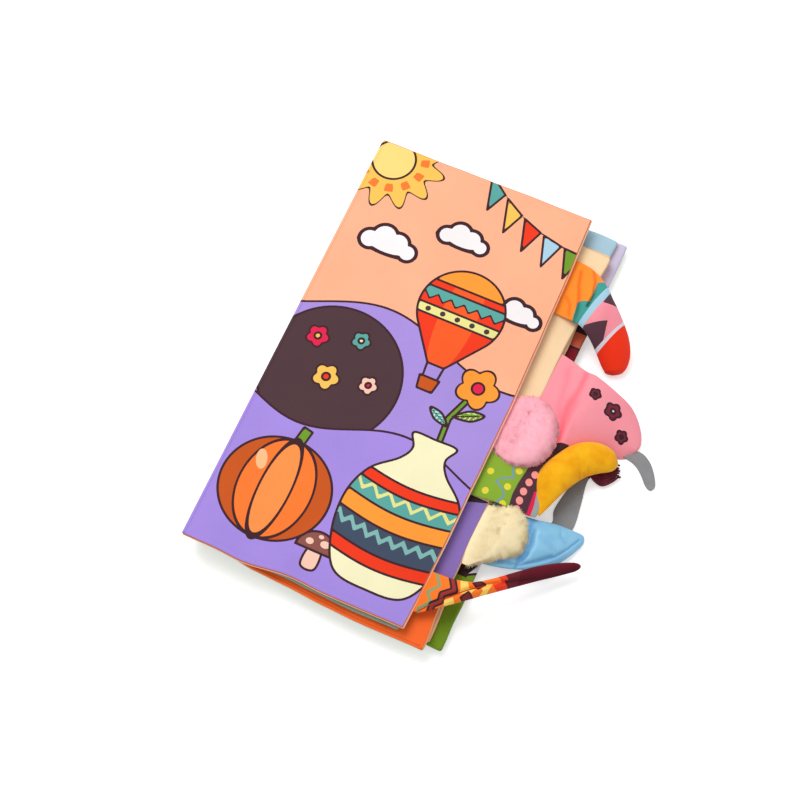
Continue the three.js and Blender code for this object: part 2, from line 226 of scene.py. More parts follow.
# %% [markdown]
# Every soft piece below is a surface worked out with numpy: a grid of points whose rows and columns
# follow two parameters. One helper joins a grid into faces. A grid can close on itself across its
# columns, like a sleeve, and its first and last rows can shrink to single points, like a sausage.


# %% Mesh helpers
CLOTH = 0.3


def grid_faces(rows, columns, closed):
    """Quads between neighbouring rows and columns. The last column joins the first if it is closed."""
    r, c = np.meshgrid(np.arange(rows - 1), np.arange(columns - (not closed)), indexing="ij")
    after = (c + 1) % columns
    corners = [r * columns + c, r * columns + after, (r + 1) * columns + after, (r + 1) * columns + c]
    return np.stack(corners, axis=-1).reshape(-1, 4)


def grid_points(x, y, z):
    """The points of a grid as one list, in the order that grid_faces counts them."""
    return np.stack([x, y, z], axis=-1).reshape(-1, 3)


def mesh_points(mesh):
    """The points of a finished mesh, in millimetres."""
    flat = np.empty(len(mesh.vertices) * 3, np.float32)
    mesh.vertices.foreach_get("co", flat)
    return flat.reshape(-1, 3) / MM


def piece(name, points, faces, material, body=None, smooth=True):
    """A named mesh from points in millimetres and a list of faces, riding on a body if one is given."""
    mesh = bpy.data.meshes.new(name)
    mesh.from_pydata((points * MM).tolist(), [], [list(face) for face in faces])
    mesh.materials.append(material)
    mesh.polygons.foreach_set("use_smooth", np.full(len(mesh.polygons), smooth))
    made = bpy.data.objects.new(name, mesh)
    bpy.context.scene.collection.objects.link(made)
    if body:
        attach(made, body)
    return made


def tube_faces(rows, columns):
    """Faces of a closed sleeve of rings whose first and last rings have each shrunk to one point."""
    ring = grid_faces(rows - 2, columns, True) + 1
    i = np.arange(columns)
    after = (i + 1) % columns
    last = 1 + (rows - 3) * columns
    end = 1 + (rows - 2) * columns
    near = np.stack([np.zeros_like(i), 1 + after, 1 + i], axis=-1)
    far = np.stack([np.full_like(i, end), last + i, last + after], axis=-1)
    return [*ring.tolist(), *near.tolist(), *far.tolist()]


def tube_points(grid):
    """The points of such a sleeve: the middle of the first ring, the rings between, the last middle."""
    ends = grid[0].mean(axis=0)[None], grid[-1].mean(axis=0)[None]
    return np.concatenate([ends[0], grid[1:-1].reshape(-1, 3), ends[1]])


def tube_values(values):
    """Point values in the order of tube_points."""
    return np.concatenate([values[:1, 0], values[1:-1].ravel(), values[-1:, 0]])


def thicken(made):
    """Gives a surface the thickness of cloth, added inwards."""
    wall = made.modifiers.new("cloth_thickness", "SOLIDIFY")
    wall.thickness = CLOTH * MM
    wall.offset = -1


def smoothstep(low, high, x):
    """Goes from 0 at low to 1 at high, and starts and ends level."""
    t = np.clip((x - low) / (high - low), 0, 1)
    return t * t * (3 - 2 * t)


# %% [markdown]
# Printed cloth could be an image, but a drawing made of distances stays sharp at any size. For each
# shape in the picture, every point of the mesh stores how far it is from the shape's edge, with a
# minus sign inside. The material then only asks if that distance is below zero. The same distance
# gives the drawn outline, as the places where it is close to zero.


# %% Distances to drawn shapes
TINY = 1e-12


def ellipse(x, y, middle, radii, turn=0):
    """Distance to an ellipse, scaled from that to a unit circle and turned by degrees."""
    c, s = math.cos(math.radians(turn)), math.sin(math.radians(turn))
    u = (c * (x - middle[0]) + s * (y - middle[1])) / radii[0]
    v = (-s * (x - middle[0]) + c * (y - middle[1])) / radii[1]
    return (np.hypot(u, v) - 1) * min(radii)


def to_side(x, y, start, end):
    """Distance to one straight side: to the nearest point of the line between its two ends."""
    (ax, ay), (bx, by) = start, end
    dx, dy = bx - ax, by - ay
    share = np.clip(((x - ax) * dx + (y - ay) * dy) / (dx * dx + dy * dy + TINY), 0, 1)
    return np.hypot(x - ax - share * dx, y - ay - share * dy)


def polygon(x, y, corners):
    """Signed distance to a polygon: the least distance to any side, negative inside by even-odd."""
    sides = list(zip(corners, [*corners[1:], corners[0]]))
    least = np.minimum.reduce([to_side(x, y, *side) for side in sides])
    inside = np.zeros(x.shape, bool)
    for (ax, ay), (bx, by) in sides:
        if by != ay:
            inside ^= ((ay > y) != (by > y)) & (x < ax + (bx - ax) * (y - ay) / (by - ay))
    return np.where(inside, -least, least)


def stroke(x, y, corners, width):
    """Distance to a bent line of that width: the least distance to its parts, less half the width."""
    parts = [to_side(x, y, *part) for part in zip(corners[:-1], corners[1:])]
    return np.minimum.reduce(parts) - width / 2


def rounded(corners, steps=8):
    """A closed smooth line through the corners, by the Catmull-Rom formula."""
    p = np.array(corners, float)
    before, after, later = np.roll(p, 1, 0), np.roll(p, -1, 0), np.roll(p, -2, 0)
    t = np.arange(steps)[:, None, None] / steps
    line = 0.5 * (
        2 * p
        + (after - before) * t
        + (2 * before - 5 * p + 4 * after - later) * t**2
        + (3 * p - before - 3 * after + later) * t**3
    )
    return [tuple(q) for q in line.transpose(1, 0, 2).reshape(-1, 2)]


def blob(x, y, corners):
    """Signed distance to a smooth closed shape through the corners."""
    return polygon(x, y, rounded(corners))


def zigzag(along, across, start, height, period):
    """Distance past a zigzag line that runs across at start, with teeth of that height and period."""
    teeth = np.abs(((across / period) % 1) - 0.5) * 2
    return along - start - height * teeth


def between(field, low, high):
    """Distance to the band where a field lies between two values."""
    return np.abs(field - (low + high) / 2) - (high - low) / 2


def both(*fields):
    """Distance to where all the shapes overlap."""
    return np.maximum.reduce(fields)


def either(*fields):
    """Distance to the shapes joined together."""
    return np.minimum.reduce(fields)


# %% [markdown]
# The panels and the printed tails are a thin, tightly woven polyester cloth, printed with dye. The eye
# sees flat, even colours with a faint grain, almost no gloss, and a pale bloom where the surface
# turns away. The real threads are about 0.15 mm, too fine to show here, so they are drawn at 0.8 mm.

# %% Printed cloth
INK = "#3A1820"
INK_WIDTH = 1.15
THREAD = 0.8
THREAD_DEPTH = 0.035
DENT_SIZE = 16
DENT_DEPTH = 0.5
MOTTLE_SIZE = 26
MOTTLE_DEPTH = 0.05
PEACH = "#FFB28C"
LAVENDER = "#A88EDC"
PLUM = "#4B3036"
CREAM = "#F6F0C4"
ORANGE = "#FF7B2C"
RUST = "#C9540F"
RED = "#F0350C"
GOLD = "#F7C357"
AMBER = "#FF9B32"
TEAL = "#57A79F"
NAVY = "#3D4A60"
CRIMSON = "#E5174A"
WHITE = "#F6EFF0"
BROWN = "#8C5049"
SHELL_PINK = "#F9C9B4"
SKY_BLUE = "#A9D0E2"
LEAF_GREEN = "#6E9B26"
SAGE = "#9AA393"
BEIGE = "#FAD2A0"
VIOLET = "#8E6EC0"
PALE_YELLOW = "#E9E38E"
PAGE_GREEN = "#8FC06A"
PAGE_SAGE = "#93A08C"


def painted(tree, ground, design):
    """Lays each shape of a design over the ground colour: its fill inside, then its inked outline."""
    colour = linear(ground)
    for number, (_, fill, ink) in enumerate(design):
        field = add(tree, "Attribute", attribute_name=f"shape_{number}").outputs["Fac"]
        if fill:
            inside = add(tree, "Math", {0: field, 1: 0.0}, operation="LESS_THAN").outputs[0]
            colour = mix(tree, inside, colour, linear(fill))
        if ink:
            off = add(tree, "Math", {0: field}, operation="ABSOLUTE").outputs[0]
            drawn = add(tree, "Math", {0: off, 1: ink / 2}, operation="LESS_THAN").outputs[0]
            colour = mix(tree, drawn, colour, linear(INK))
    return colour


def mottled(tree, colour, size, depth):
    """Colour made a little darker and lighter in blotches of that size."""
    cloud = noise(tree, size, 3)
    inputs = {0: cloud, 1: 0.3, 2: 0.7, 3: 1 - depth, 4: 1 + depth / 2}
    level = add(tree, "MapRange", inputs).outputs[0]
    return mix(tree, 1.0, colour, level, "MULTIPLY")


def crease_shaded(tree, colour, depth=0.75):
    """Painted crease shade: colour multiplied by itself, so deepened, where the fold attribute is set."""
    fold = add(tree, "Attribute", attribute_name="fold").outputs["Fac"]
    share = add(tree, "Math", {0: fold, 1: depth}, operation="MULTIPLY").outputs[0]
    return mix(tree, share, colour, mix(tree, 1.0, colour, colour, "MULTIPLY"))


def relief(tree, height, depth, below=None):
    """A bump of that depth in millimetres, laid over another bump if one is given."""
    inputs = {"Height": height, "Distance": depth * MM, "Strength": 1.0}
    if below is not None:
        inputs["Normal"] = below
    return add(tree, "Bump", inputs).outputs[0]


def weave(tree, period):
    """Two crossed sets of threads, each hiding the other in turn: the higher of the two at each spot."""
    warp, weft = threads(tree, period, "X"), threads(tree, period, "Y")
    return add(tree, "Math", {0: warp, 1: weft}, operation="MAXIMUM").outputs[0]


def printed_cloth(name, ground, design):
    """Dye-printed woven polyester: the design, faint mottling, film dents under it, and its weave."""
    material, tree = new_material(name)
    dye = mottled(tree, painted(tree, ground, design), MOTTLE_SIZE, MOTTLE_DEPTH)
    # Painted shade: the colour deepens where the cloth is folded in.
    colour = crease_shaded(tree, dye)
    dents = relief(tree, noise(tree, DENT_SIZE, 2), DENT_DEPTH)
    bump = relief(tree, weave(tree, THREAD), THREAD_DEPTH, dents)
    inputs = {"Base Color": colour, "Roughness": 0.78, "Normal": bump, "IOR": 1.45}
    inputs |= {"Sheen Weight": 0.12, "Sheen Roughness": 0.5, "Specular IOR Level": 0.3}
    close(tree, add(tree, "BsdfPrincipled", inputs).outputs[0])
    return material


def store(made, design, order=np.ravel):
    """Writes each shape's distances to the mesh, one number for each point."""
    for number, (field, _, _) in enumerate(design):
        attribute = made.data.attributes.new(f"shape_{number}", "FLOAT", "POINT")
        attribute.data.foreach_set("value", order(field).astype(np.float32))


# %% [markdown]
# The front cover shows a printed picture. The one here is a plain country scene of everyday things: a
# sun, flags, clouds, a balloon, a vase and gourds, in large flat shapes with dark outlines. Each
# motif is a function of its place and size, so that the pages inside can use the same ones.


# %% Motifs for the prints
def turned(points, middle, size, turn=0):
    """Points of a unit drawing, scaled, turned by degrees and moved to the middle."""
    c, s = math.cos(math.radians(turn)), math.sin(math.radians(turn))
    return [
        (middle[0] + size * (c * px - s * py), middle[1] + size * (s * px + c * py))
        for px, py in points
    ]


def sun(x, y, middle, size):
    """A disc with a ring of points: the radius of the star swings twelve times round the circle."""
    angle = np.arctan2(y - middle[1], x - middle[0])
    distance = np.hypot(x - middle[0], y - middle[1])
    star = distance - size * (0.86 + 0.14 * np.cos(12 * angle))
    rays = both(between(distance, 0.5 * size, 0.66 * size), np.cos(12 * angle) * size * 0.1)
    disc = distance - 0.4 * size
    return [(star, GOLD, INK_WIDTH), (rays, ORANGE, 0), (disc, "#FBD77C", INK_WIDTH)]


def cloud(x, y, middle, size):
    """Four round puffs joined into one outline."""
    puffs = [(-0.62, -0.08, 0.34), (-0.2, 0.16, 0.42), (0.28, 0.08, 0.38), (0.68, -0.1, 0.3)]
    parts = [
        ellipse(x, y, (middle[0] + size * dx, middle[1] + size * dy), (size * r, size * r))
        for dx, dy, r in puffs
    ]
    base = ellipse(x, y, (middle[0], middle[1] - 0.16 * size), (0.8 * size, 0.24 * size))
    return [(either(*parts, base), WHITE, 1.9)]


def bunting(x, y, ends, drop, colours):
    """Small flags on a string that hangs between two points as a parabola."""
    (ax, ay), (bx, by) = ends
    share = (x - ax) / (bx - ax)
    hang = ay + (by - ay) * share - drop * 4 * share * (1 - share)
    string = both(np.abs(y - hang) - 0.5, ax - x, x - bx)
    width = (bx - ax) / len(colours)
    made = []
    for number, colour in enumerate(colours):
        left = ax + width * (number + 0.08)
        right = left + width * 0.84
        level = [np.interp(p, [ax, bx], [ay, by]) for p in (left, right)]
        sag = [drop * 4 * s * (1 - s) for s in ((left - ax) / (bx - ax), (right - ax) / (bx - ax))]
        corners = [(left, level[0] - sag[0]), (right, level[1] - sag[1])]
        tip = ((left + right) / 2, sum(level) / 2 - sum(sag) / 2 - 1.25 * width)
        made.append((polygon(x, y, [*corners, tip]), colour, INK_WIDTH))
    return [*made, (string, INK, 0)]


def balloon(x, y, middle, size):
    """A round bag over a tapered neck, with a zigzag band, a dotted band and a basket on ropes."""
    cx, cy = middle
    neck = [(-0.8, -0.6), (0.8, -0.6), (0.2, -1.42), (-0.2, -1.42)]
    bag = either(ellipse(x, y, middle, (size, size)), polygon(x, y, turned(neck, middle, size)))
    gore = both(bag, ellipse(x, y, (cx, cy - 0.2 * size), (0.42 * size, 1.4 * size)))
    teeth = zigzag(y - cy, x - cx, 0.02 * size, 0.16 * size, 0.32 * size)
    cap = both(bag, cy + 0.52 * size - y)
    sash = both(bag, -teeth, y - cy - 0.34 * size)
    belt = both(bag, between(y - cy, -0.34 * size, -0.1 * size))
    step = 0.36 * size
    dots = np.hypot((x - cx + step / 2) % step - step / 2, y - cy + 0.22 * size) - 0.065 * size
    ropes = either(
        stroke(x, y, turned([(-0.2, -1.4), (-0.17, -1.8)], middle, size), 1.2),
        stroke(x, y, turned([(0.2, -1.4), (0.17, -1.8)], middle, size), 1.2),
    )
    basket = polygon(
        x, y, turned([(-0.24, -1.74), (0.24, -1.74), (0.18, -2.06), (-0.18, -2.06)], middle, size)
    )
    return [
        (ropes, INK, 0),
        (basket, RUST, INK_WIDTH),
        (bag, RED, 0),
        (gore, "#F7591B", 0),
        (cap, AMBER, INK_WIDTH),
        (sash, TEAL, INK_WIDTH),
        (belt, PALE_YELLOW, INK_WIDTH),
        (both(belt, dots), PLUM, 0),
        (bag, None, INK_WIDTH),
    ]


def sprig(x, y, root, size, turn, colour, stripe):
    """A pointed leaf on its middle rib, with slanted stripes on it."""
    outline = [(0, 0), (0.13, 0.3), (0.17, 0.62), (0, 1), (-0.17, 0.62), (-0.13, 0.3)]
    leaf = blob(x, y, turned(outline, root, size, turn))
    rib = stroke(x, y, turned([(0, -0.06), (0, 0.84)], root, size, turn), 0.8)
    c, s = math.cos(math.radians(turn)), math.sin(math.radians(turn))
    across = c * (x - root[0]) + s * (y - root[1])
    along = -s * (x - root[0]) + c * (y - root[1])
    bars = ((along + np.abs(across)) % (0.17 * size)) - 0.075 * size
    stripes = both(leaf, np.abs(bars) - 0.035 * size)
    return [(leaf, colour, 0), (stripes, stripe, 0), (leaf, None, INK_WIDTH), (rib, INK, 0)]


def vase(x, y, middle, size):
    """A bellied cream vase with four woven bands round it."""
    outline = [
        (-0.28, 1), (0, 1.01), (0.28, 1), (0.21, 0.82), (0.3, 0.64), (0.58, 0.38), (0.71, 0),
        (0.66, -0.48), (0.44, -0.9), (0, -0.97), (-0.44, -0.9), (-0.66, -0.48), (-0.71, 0),
        (-0.58, 0.38), (-0.3, 0.64), (-0.21, 0.82),
    ]
    body = blob(x, y, turned(outline, middle, size))
    level = y - middle[1] + 0.1 * size * np.cos((x - middle[0]) / size * 2.2)
    across = x - middle[0]
    zig = zigzag(level, across, 0.17 * size, 0.12 * size, 0.22 * size)
    low = zigzag(level, across, -0.6 * size, 0.1 * size, 0.17 * size)
    bands = [
        (both(body, level - 0.44 * size, -0.3 * size - level), TEAL, INK_WIDTH),
        (both(body, np.abs(zig) - 0.028 * size), PALE_YELLOW, 0),
        (both(body, between(level, 0.3 * size, 0.44 * size)), RED, INK_WIDTH),
        (both(body, between(level, -0.14 * size, 0.08 * size)), AMBER, INK_WIDTH),
        (both(body, between(level, -0.46 * size, -0.14 * size)), NAVY, INK_WIDTH),
        (both(body, np.abs(low - 0.3 * size) - 0.035 * size), "#7FB7B0", 0),
        (both(body, between(level, -0.62 * size, -0.46 * size)), RED, INK_WIDTH),
    ]
    return [(body, CREAM, 0), *bands, (body, None, INK_WIDTH)]


def gourd(x, y, middle, radii):
    """A pumpkin: a wide oval with narrower ovals on it as its ribs, and a short stalk."""
    cx, cy = middle
    stalk = polygon(
        x, y, [(cx - 2.6, cy + radii[1] * 0.8), (cx + 2.6, cy + radii[1] * 0.8),
               (cx + 4.6, cy + radii[1] + 7), (cx - 0.4, cy + radii[1] + 8)]
    )
    whole = ellipse(x, y, middle, radii)
    ribs = [ellipse(x, y, middle, (radii[0] * share, radii[1])) for share in (0.66, 0.28)]
    shine = (cx - radii[0] * 0.44, cy + radii[1] * 0.42)
    gleam = ellipse(x, y, shine, (radii[0] * 0.1, radii[1] * 0.2), 20)
    return [
        (stalk, LEAF_GREEN, INK_WIDTH),
        (whole, RUST, INK_WIDTH),
        (ribs[0], ORANGE, INK_WIDTH),
        (ribs[1], "#FF9347", INK_WIDTH),
        (gleam, "#FFC08A", 0),
    ]


def toadstool(x, y, middle, size):
    """A dome-shaped cap with spots over a short stalk."""
    cx, cy = middle
    stalk = blob(x, y, turned([(-0.3, 0.1), (0.3, 0.1), (0.36, -0.9), (-0.36, -0.9)], middle, size))
    dome = both(ellipse(x, y, middle, (size, 0.92 * size)), cy - 0.06 * size - y)
    marks = either(
        ellipse(x, y, (cx - 0.42 * size, cy + 0.32 * size), (0.2 * size, 0.16 * size)),
        ellipse(x, y, (cx + 0.34 * size, cy + 0.42 * size), (0.24 * size, 0.18 * size)),
        ellipse(x, y, (cx + 0.02 * size, cy + 0.7 * size), (0.14 * size, 0.1 * size)),
    )
    return [
        (stalk, SHELL_PINK, INK_WIDTH),
        (dome, BROWN, INK_WIDTH),
        (both(dome, marks), SHELL_PINK, 0),
    ]


def flower(x, y, middle, size, colour, heart=GOLD):
    """Five round petals: the radius swells five times round the circle."""
    angle = np.arctan2(y - middle[1], x - middle[0])
    distance = np.hypot(x - middle[0], y - middle[1])
    petals = distance - size * (0.72 + 0.28 * np.abs(np.cos(2.5 * angle)))
    return [(petals, colour, INK_WIDTH), (distance - 0.28 * size, heart, INK_WIDTH)]


def hills(x, y, level, height, length, colour):
    """Ground below a line that rolls as a sine."""
    return [(y - level - height * np.sin(x / length), colour, INK_WIDTH)]


# %% [markdown]
# A leaf is two panels of cloth laid print to print, sewn round three sides and turned right side out.
# So its edge is a soft roll with the seam halfway up, and its corners are small rounds. The frame
# gives each leaf's outline: the fore edge of each is a little askew, because it was sewn by hand.
# A flat grid is laid over the outline, squeezed round the corners, and lifted near the edge into a
# quarter round. Then a slow wave, the same for all leaves, keeps the stack from looking like boards.

# %% The outline and roll of a leaf
LEAVES = ["back_cover", "fourth_leaf", "third_leaf", "second_leaf", "first_leaf", "front_cover"]
SEWN_ANGLE = dict(zip(LEAVES, [1.1, 1.1, 1.3, 1.5, 1.2, 0.0]))
COVER_BOW = 2.185
FOOT_LINE = {
    "front_cover": [(0, -1.4), (0.14, -1.5), (0.27, -2.3), (0.49, 0.3), (0.66, -0.6), (1, -0.3)],
    "first_leaf": [(0, -0.8), (0.36, -0.8), (0.47, -0.3), (0.6, -0.8), (0.78, -1.2), (1, -0.4)],
    "second_leaf": [(0, 1.6), (0.15, 1.2), (0.3, -0.7), (0.42, -1.0), (0.6, -1.9), (0.72, -2.1), (1, -1.0)],
    "third_leaf": [(0, 2.4), (0.5, 1.2), (1, -2.1)],
    "fourth_leaf": [(0, 2.4), (0.5, 1.2), (1, -0.9)],
}
FORE_LINE = {
    "back_cover": [(-30, 0), (60, -2.6)],
    "fourth_leaf": [(-30, 0), (60, -2.2)],
    "third_leaf": [(-110, -0.3), (-72, -2.3)],
    "second_leaf": [(-112, 1.3), (-88, 0), (-50, -1.4), (40, -1.3), (60, -0.4)],
    "first_leaf": [(-30, 0), (60, -2.6)],
}
HEAD_MOVED = {"third_leaf": 2.2}
UNEVEN_PAGE = 0.3
UNEVEN_COVER = 0.1
SPINE_WRAP = 1.5
BOW_HALF = 112.6
CORNER_ROUND = dict(zip(LEAVES, [1.3, 1.3, 1.3, 1.3, 1.3, 0.9]))
UNLIKE = 3
RIM = 1.45
END_RIM_LESS = 0.3
WAVE = 0.7
WAVE_FADE = 16
SEAM_DENT = 0.16
SEAM_AWAY = 2.6
SEAM_WIDE = 0.8
PAGE_FOLD_WIDTH = 0.9
PAGE_FOLDS = [
    ([(56, 59.5), (63, 58.4), (69, 57.6)], 0.35),
    ([(56, 55.5), (61, 56.4), (65, 55.2)], 0.25),
    ([(57, 19.5), (63, 20.5), (69, 19)], 0.3),
    ([(60, 95), (65, 95.8), (69, 94)], 0.25),
]
PUCKER = 0.16
PUCKERS_ALONG = 2.2
PUCKER_FADE = 9
COVER_SPACING = 0.9
PAGE_SPACING = 1.6


def outline(leaf):
    """Spine x, fore edge, foot and head along the spine, slope, bow, lowest and highest z of a leaf."""
    p = np.concatenate([mesh_points(nodes[f"{leaf}_{face}_panel"].data) for face in ("front", "back")])
    slope = math.tan(math.radians(SEWN_ANGLE[leaf]))
    left = p[:, 0].min()
    along = p[:, 1] + (p[:, 0] - left) * slope
    bow = COVER_BOW if leaf == "front_cover" else 0
    edge = (p[:, 0] - p[:, 1] * slope).max() - bow
    return left, edge, along.min(), along.max(), slope, bow, p[:, 2].min(), p[:, 2].max()


def stations(length, spacing):
    """Places along a side: spaced as cosines in the rolled rims, so the roll is round, evenly between."""
    roll = RIM * (1 - np.cos(np.linspace(0, math.pi / 2, 7)))
    inner = np.linspace(RIM, length - RIM, round((length - 2 * RIM) / spacing) + 1)
    return np.concatenate([roll[:-1], inner, (length - roll[:-1])[::-1]])


def hand_sewn(place, which):
    """How far a hand-sewn edge strays: three sines of unlike length, shifted from leaf to leaf."""
    return np.sin(place / 13 + which) + 0.6 * np.sin(place / 5.7 + 2.3 * which) + 0.3 * np.sin(place / 3.1)


def eased(place, knots):
    """A line through knots of place and value, level at each: the sum of a smoothstep for each gap."""
    at, value = np.array(knots, float).T
    rises = [
        (value[k + 1] - value[k]) * smoothstep(at[k], at[k + 1], place) for k in range(len(at) - 1)
    ]
    return value[0] + sum(rises)


LEVEL = [(0, 0), (1, 0)]


def leaf_grid(leaf, spacing):
    """Points x and y over a leaf, each one's distance from its edge, and from its three sewn sides.

    In a corner square of side r, a point at (p, q) from the square's inner corner moves to
    max(p, q) / hypot(p, q) times (p, q), which turns the square into a quarter disc.
    """
    left, edge, foot, head, slope, bow, _, _ = outline(leaf)
    left = left - SPINE_WRAP
    width, height = edge - left, head - foot
    a, b = np.meshgrid(stations(width, spacing), stations(height, spacing))
    near_side, near_end = np.minimum(a, width - a), np.minimum(b, height - b)
    margin = np.minimum(near_side, near_end)
    corner = CORNER_ROUND[leaf]
    p, q = corner - near_side, corner - near_end
    squeeze = np.where((p > 0) & (q > 0), np.maximum(p, q) / np.maximum(np.hypot(p, q), TINY), 1)
    side = np.where(squeeze < 1, corner - p * squeeze, near_side)
    end = np.where(squeeze < 1, corner - q * squeeze, near_end)
    a = np.where(a < width / 2, side, width - side)
    b = np.where(b < height / 2, end, height - end)
    uneven_share = UNEVEN_COVER if leaf == "front_cover" else UNEVEN_PAGE
    uneven = uneven_share * hand_sewn(b, LEAVES.index(leaf))
    at_foot = eased(a / width, FOOT_LINE.get(leaf, LEVEL))
    at_head = HEAD_MOVED.get(leaf, 0) + uneven_share * hand_sewn(a, LEAVES.index(leaf) + UNLIKE)
    rise = foot + b + at_foot * (1 - b / height) + at_head * b / height
    fore = edge + bow * (1 - (rise / BOW_HALF) ** 2) + uneven + eased(rise, FORE_LINE.get(leaf, LEVEL))
    reach = (fore + slope * rise + slope**2 * left) / (1 + slope**2)
    x = left + (a / width) * (reach - left)
    y = rise - (x - left) * slope
    hem = np.minimum(width - a, np.minimum(b, height - b) + END_RIM_LESS)
    return x, y, margin, hem


def wave(x, y):
    """A slow swell from 0 to 1: two sines of about 90 and 60 millimetres, crossed."""
    return 0.5 + 0.25 * np.sin(x / 15 + y / 34 + 0.8) + 0.25 * np.sin(y / 19 - x / 27)


def swell(leaf, x, y, margin):
    """How far the wave lifts a leaf: nothing at its edges, and more for each leaf up the stack."""
    grown = WAVE * LEAVES.index(leaf) / (len(LEAVES) - 1)
    return grown * wave(x, y) * smoothstep(0, WAVE_FADE, margin)


def panel_height(leaf, x, y, margin, side):
    """Quarter-round roll at the rim, a dent along the seam, puckers, page folds and the swell."""
    low, high = outline(leaf)[6:]
    roll = np.sqrt(1 - (1 - np.minimum(margin / RIM, 1)) ** 2)
    dent = SEAM_DENT * np.exp(-(((margin - SEAM_AWAY) / SEAM_WIDE) ** 2))
    near_edge = smoothstep(0, RIM, margin) * (1 - smoothstep(RIM, PUCKER_FADE, margin))
    pucker = 0
    if leaf != "front_cover":
        pucker = PUCKER * hand_sewn((x + y) * PUCKERS_ALONG, side) * near_edge
    fold = 0
    if leaf == "second_leaf" and side > 0:
        for line, depth in PAGE_FOLDS:
            fold = fold + depth * np.exp(-((stroke(x, y, line, 0) / PAGE_FOLD_WIDTH) ** 2))
    thick = (high - low) / 2 * roll - dent - np.abs(pucker)
    return (low + high) / 2 + side * thick + swell(leaf, x, y, margin) - fold


def leaf_panel(leaf, side, spacing, material, design):
    """One panel as a grid, its rim on the seam, with the cloth's thickness added inwards."""
    x, y, margin, hem = leaf_grid(leaf, spacing)
    z = panel_height(leaf, x, y, margin, side)
    faces = grid_faces(*x.shape, False)
    name = f"{leaf}_{'front' if side > 0 else 'back'}_panel"
    faces = faces if side > 0 else faces[:, ::-1]
    made = piece(f"{name}_cloth", grid_points(x, y, z), faces, material, leaf)
    store(made, design(x, y, hem))
    thicken(made)
    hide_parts(name)
    return made


print("leaf size", [round(v, 1) for v in outline("front_cover")[:4]])

# %% [markdown]
# The pictures. The cover has the most: a sky, dark and pale hills, and bright things in front of them.
# Its rim is left in the pale colour of the cloth, as the roll shows it. The pages carry simpler
# scenes of the same motifs, and the strips of their colour that stick out past the cover are in
# bands.

# %% Pictures for the cover and the pages
RIM_SHOWN = 0.5
RIM_SHADOW_LINE = 1.0
PAGE_SEAM = 1.9
SEAM_SHOWN = 0.3
WIDE_BORDER = 7
NO_INK = 0


def cover_picture(x, y, hem):
    """The front cover, from back to front."""
    back_hill = y - 20 - 9 * np.sin(x / 21 + 2.3)
    knoll = ellipse(x, y, (-29, -14), (36, 36))
    front_hill = y + 36 - 7 * np.sin(x / 17 + 0.4)
    flags = [TEAL, GOLD, RED, SKY_BLUE, LEAF_GREEN]
    stem = stroke(x, y, [(35, -26), (34, -12), (40, 4)], 2.6)
    return [
        *sun(x, y, (-49, 106), 28),
        *cloud(x, y, (-32, 62), 16),
        *cloud(x, y, (2, 79), 14),
        *cloud(x, y, (43, 52), 13),
        *bunting(x, y, [(0, 119), (62, 94)], 7, flags),
        (back_hill, LAVENDER, INK_WIDTH),
        (knoll, PLUM, INK_WIDTH),
        *flower(x, y, (-43, 2), 6, CRIMSON, GOLD),
        *flower(x, y, (-22, 8), 5, TEAL, CREAM),
        *flower(x, y, (-30, -16), 7, GOLD, RED),
        *flower(x, y, (-9, -12), 5, SHELL_PINK, CRIMSON),
        (front_hill, "#A58AE0", INK_WIDTH),
        *balloon(x, y, (17, 42), 22),
        *toadstool(x, y, (3, -98), 10),
        *gourd(x, y, (-28, -78), (28, 26)),
        (stem, LEAF_GREEN, INK_WIDTH),
        *sprig(x, y, (35, -16), 13, 62, TEAL, "#C8E3D6"),
        *sprig(x, y, (36, -10), 15, -66, LEAF_GREEN, "#D6E39A"),
        *flower(x, y, (41, 8), 11, AMBER, CRIMSON),
        *vase(x, y, (33, -66), 41),
        # Painted shadow: a dark orange band just inside the pale rim, where the roll turns down to the
        # seam.
        (hem - RIM_SHADOW_LINE, "#D26A36", NO_INK),
        (hem - RIM_SHOWN, "#FDD0B4", NO_INK),
    ]


def country_page(colour, hill, bloom, border=RIM_SHOWN):
    """A picture of two hills, a sun, two flowers and a toadstool, inside a plain border."""

    def picture(x, y, hem):
        return [
            *sun(x, y, (30, 70), 16),
            *hills(x, y, 0, 8, 24, hill),
            *hills(x, y, -52, 6, 17, LEAF_GREEN),
            *flower(x, y, (-25, -28), 9, bloom),
            *flower(x, y, (5, -20), 7, WHITE),
            *toadstool(x, y, (-10, -84), 12),
            (hem - border, colour, NO_INK),
        ]

    return picture


def second_front(x, y, hem):
    """Beige above violet above orange-red, with gourds and flowers on the part under the cover."""
    return [
        (y + 41, "#2E2024", NO_INK),
        (y + 45.5 - 0.35 * np.maximum(x - 57, 0), "#8A6FBA", NO_INK),
        (y + 83, "#FF6A24", NO_INK),
        (both(np.abs(hem - PAGE_SEAM) - SEAM_SHOWN, y + 83), "#E0480F", NO_INK),
        *gourd(x, y, (-20, -20), (24, 20)),
        *flower(x, y, (-30, 60), 12, TEAL),
        *flower(x, y, (10, 70), 9, RED),
        (hem - RIM_SHOWN, "#E4B78A", NO_INK),
    ]


def third_front(x, y, hem):
    """Pale blue sky over beige, and peach ground."""
    return [
        (104 - y, "#AACCDD", NO_INK),
        (y + 70, "#F7B58C", INK_WIDTH),
        *cloud(x, y, (-20, 40), 18),
        *balloon(x, y, (10, 20), 16),
        *flower(x, y, (-25, -50), 10, RED),
    ]


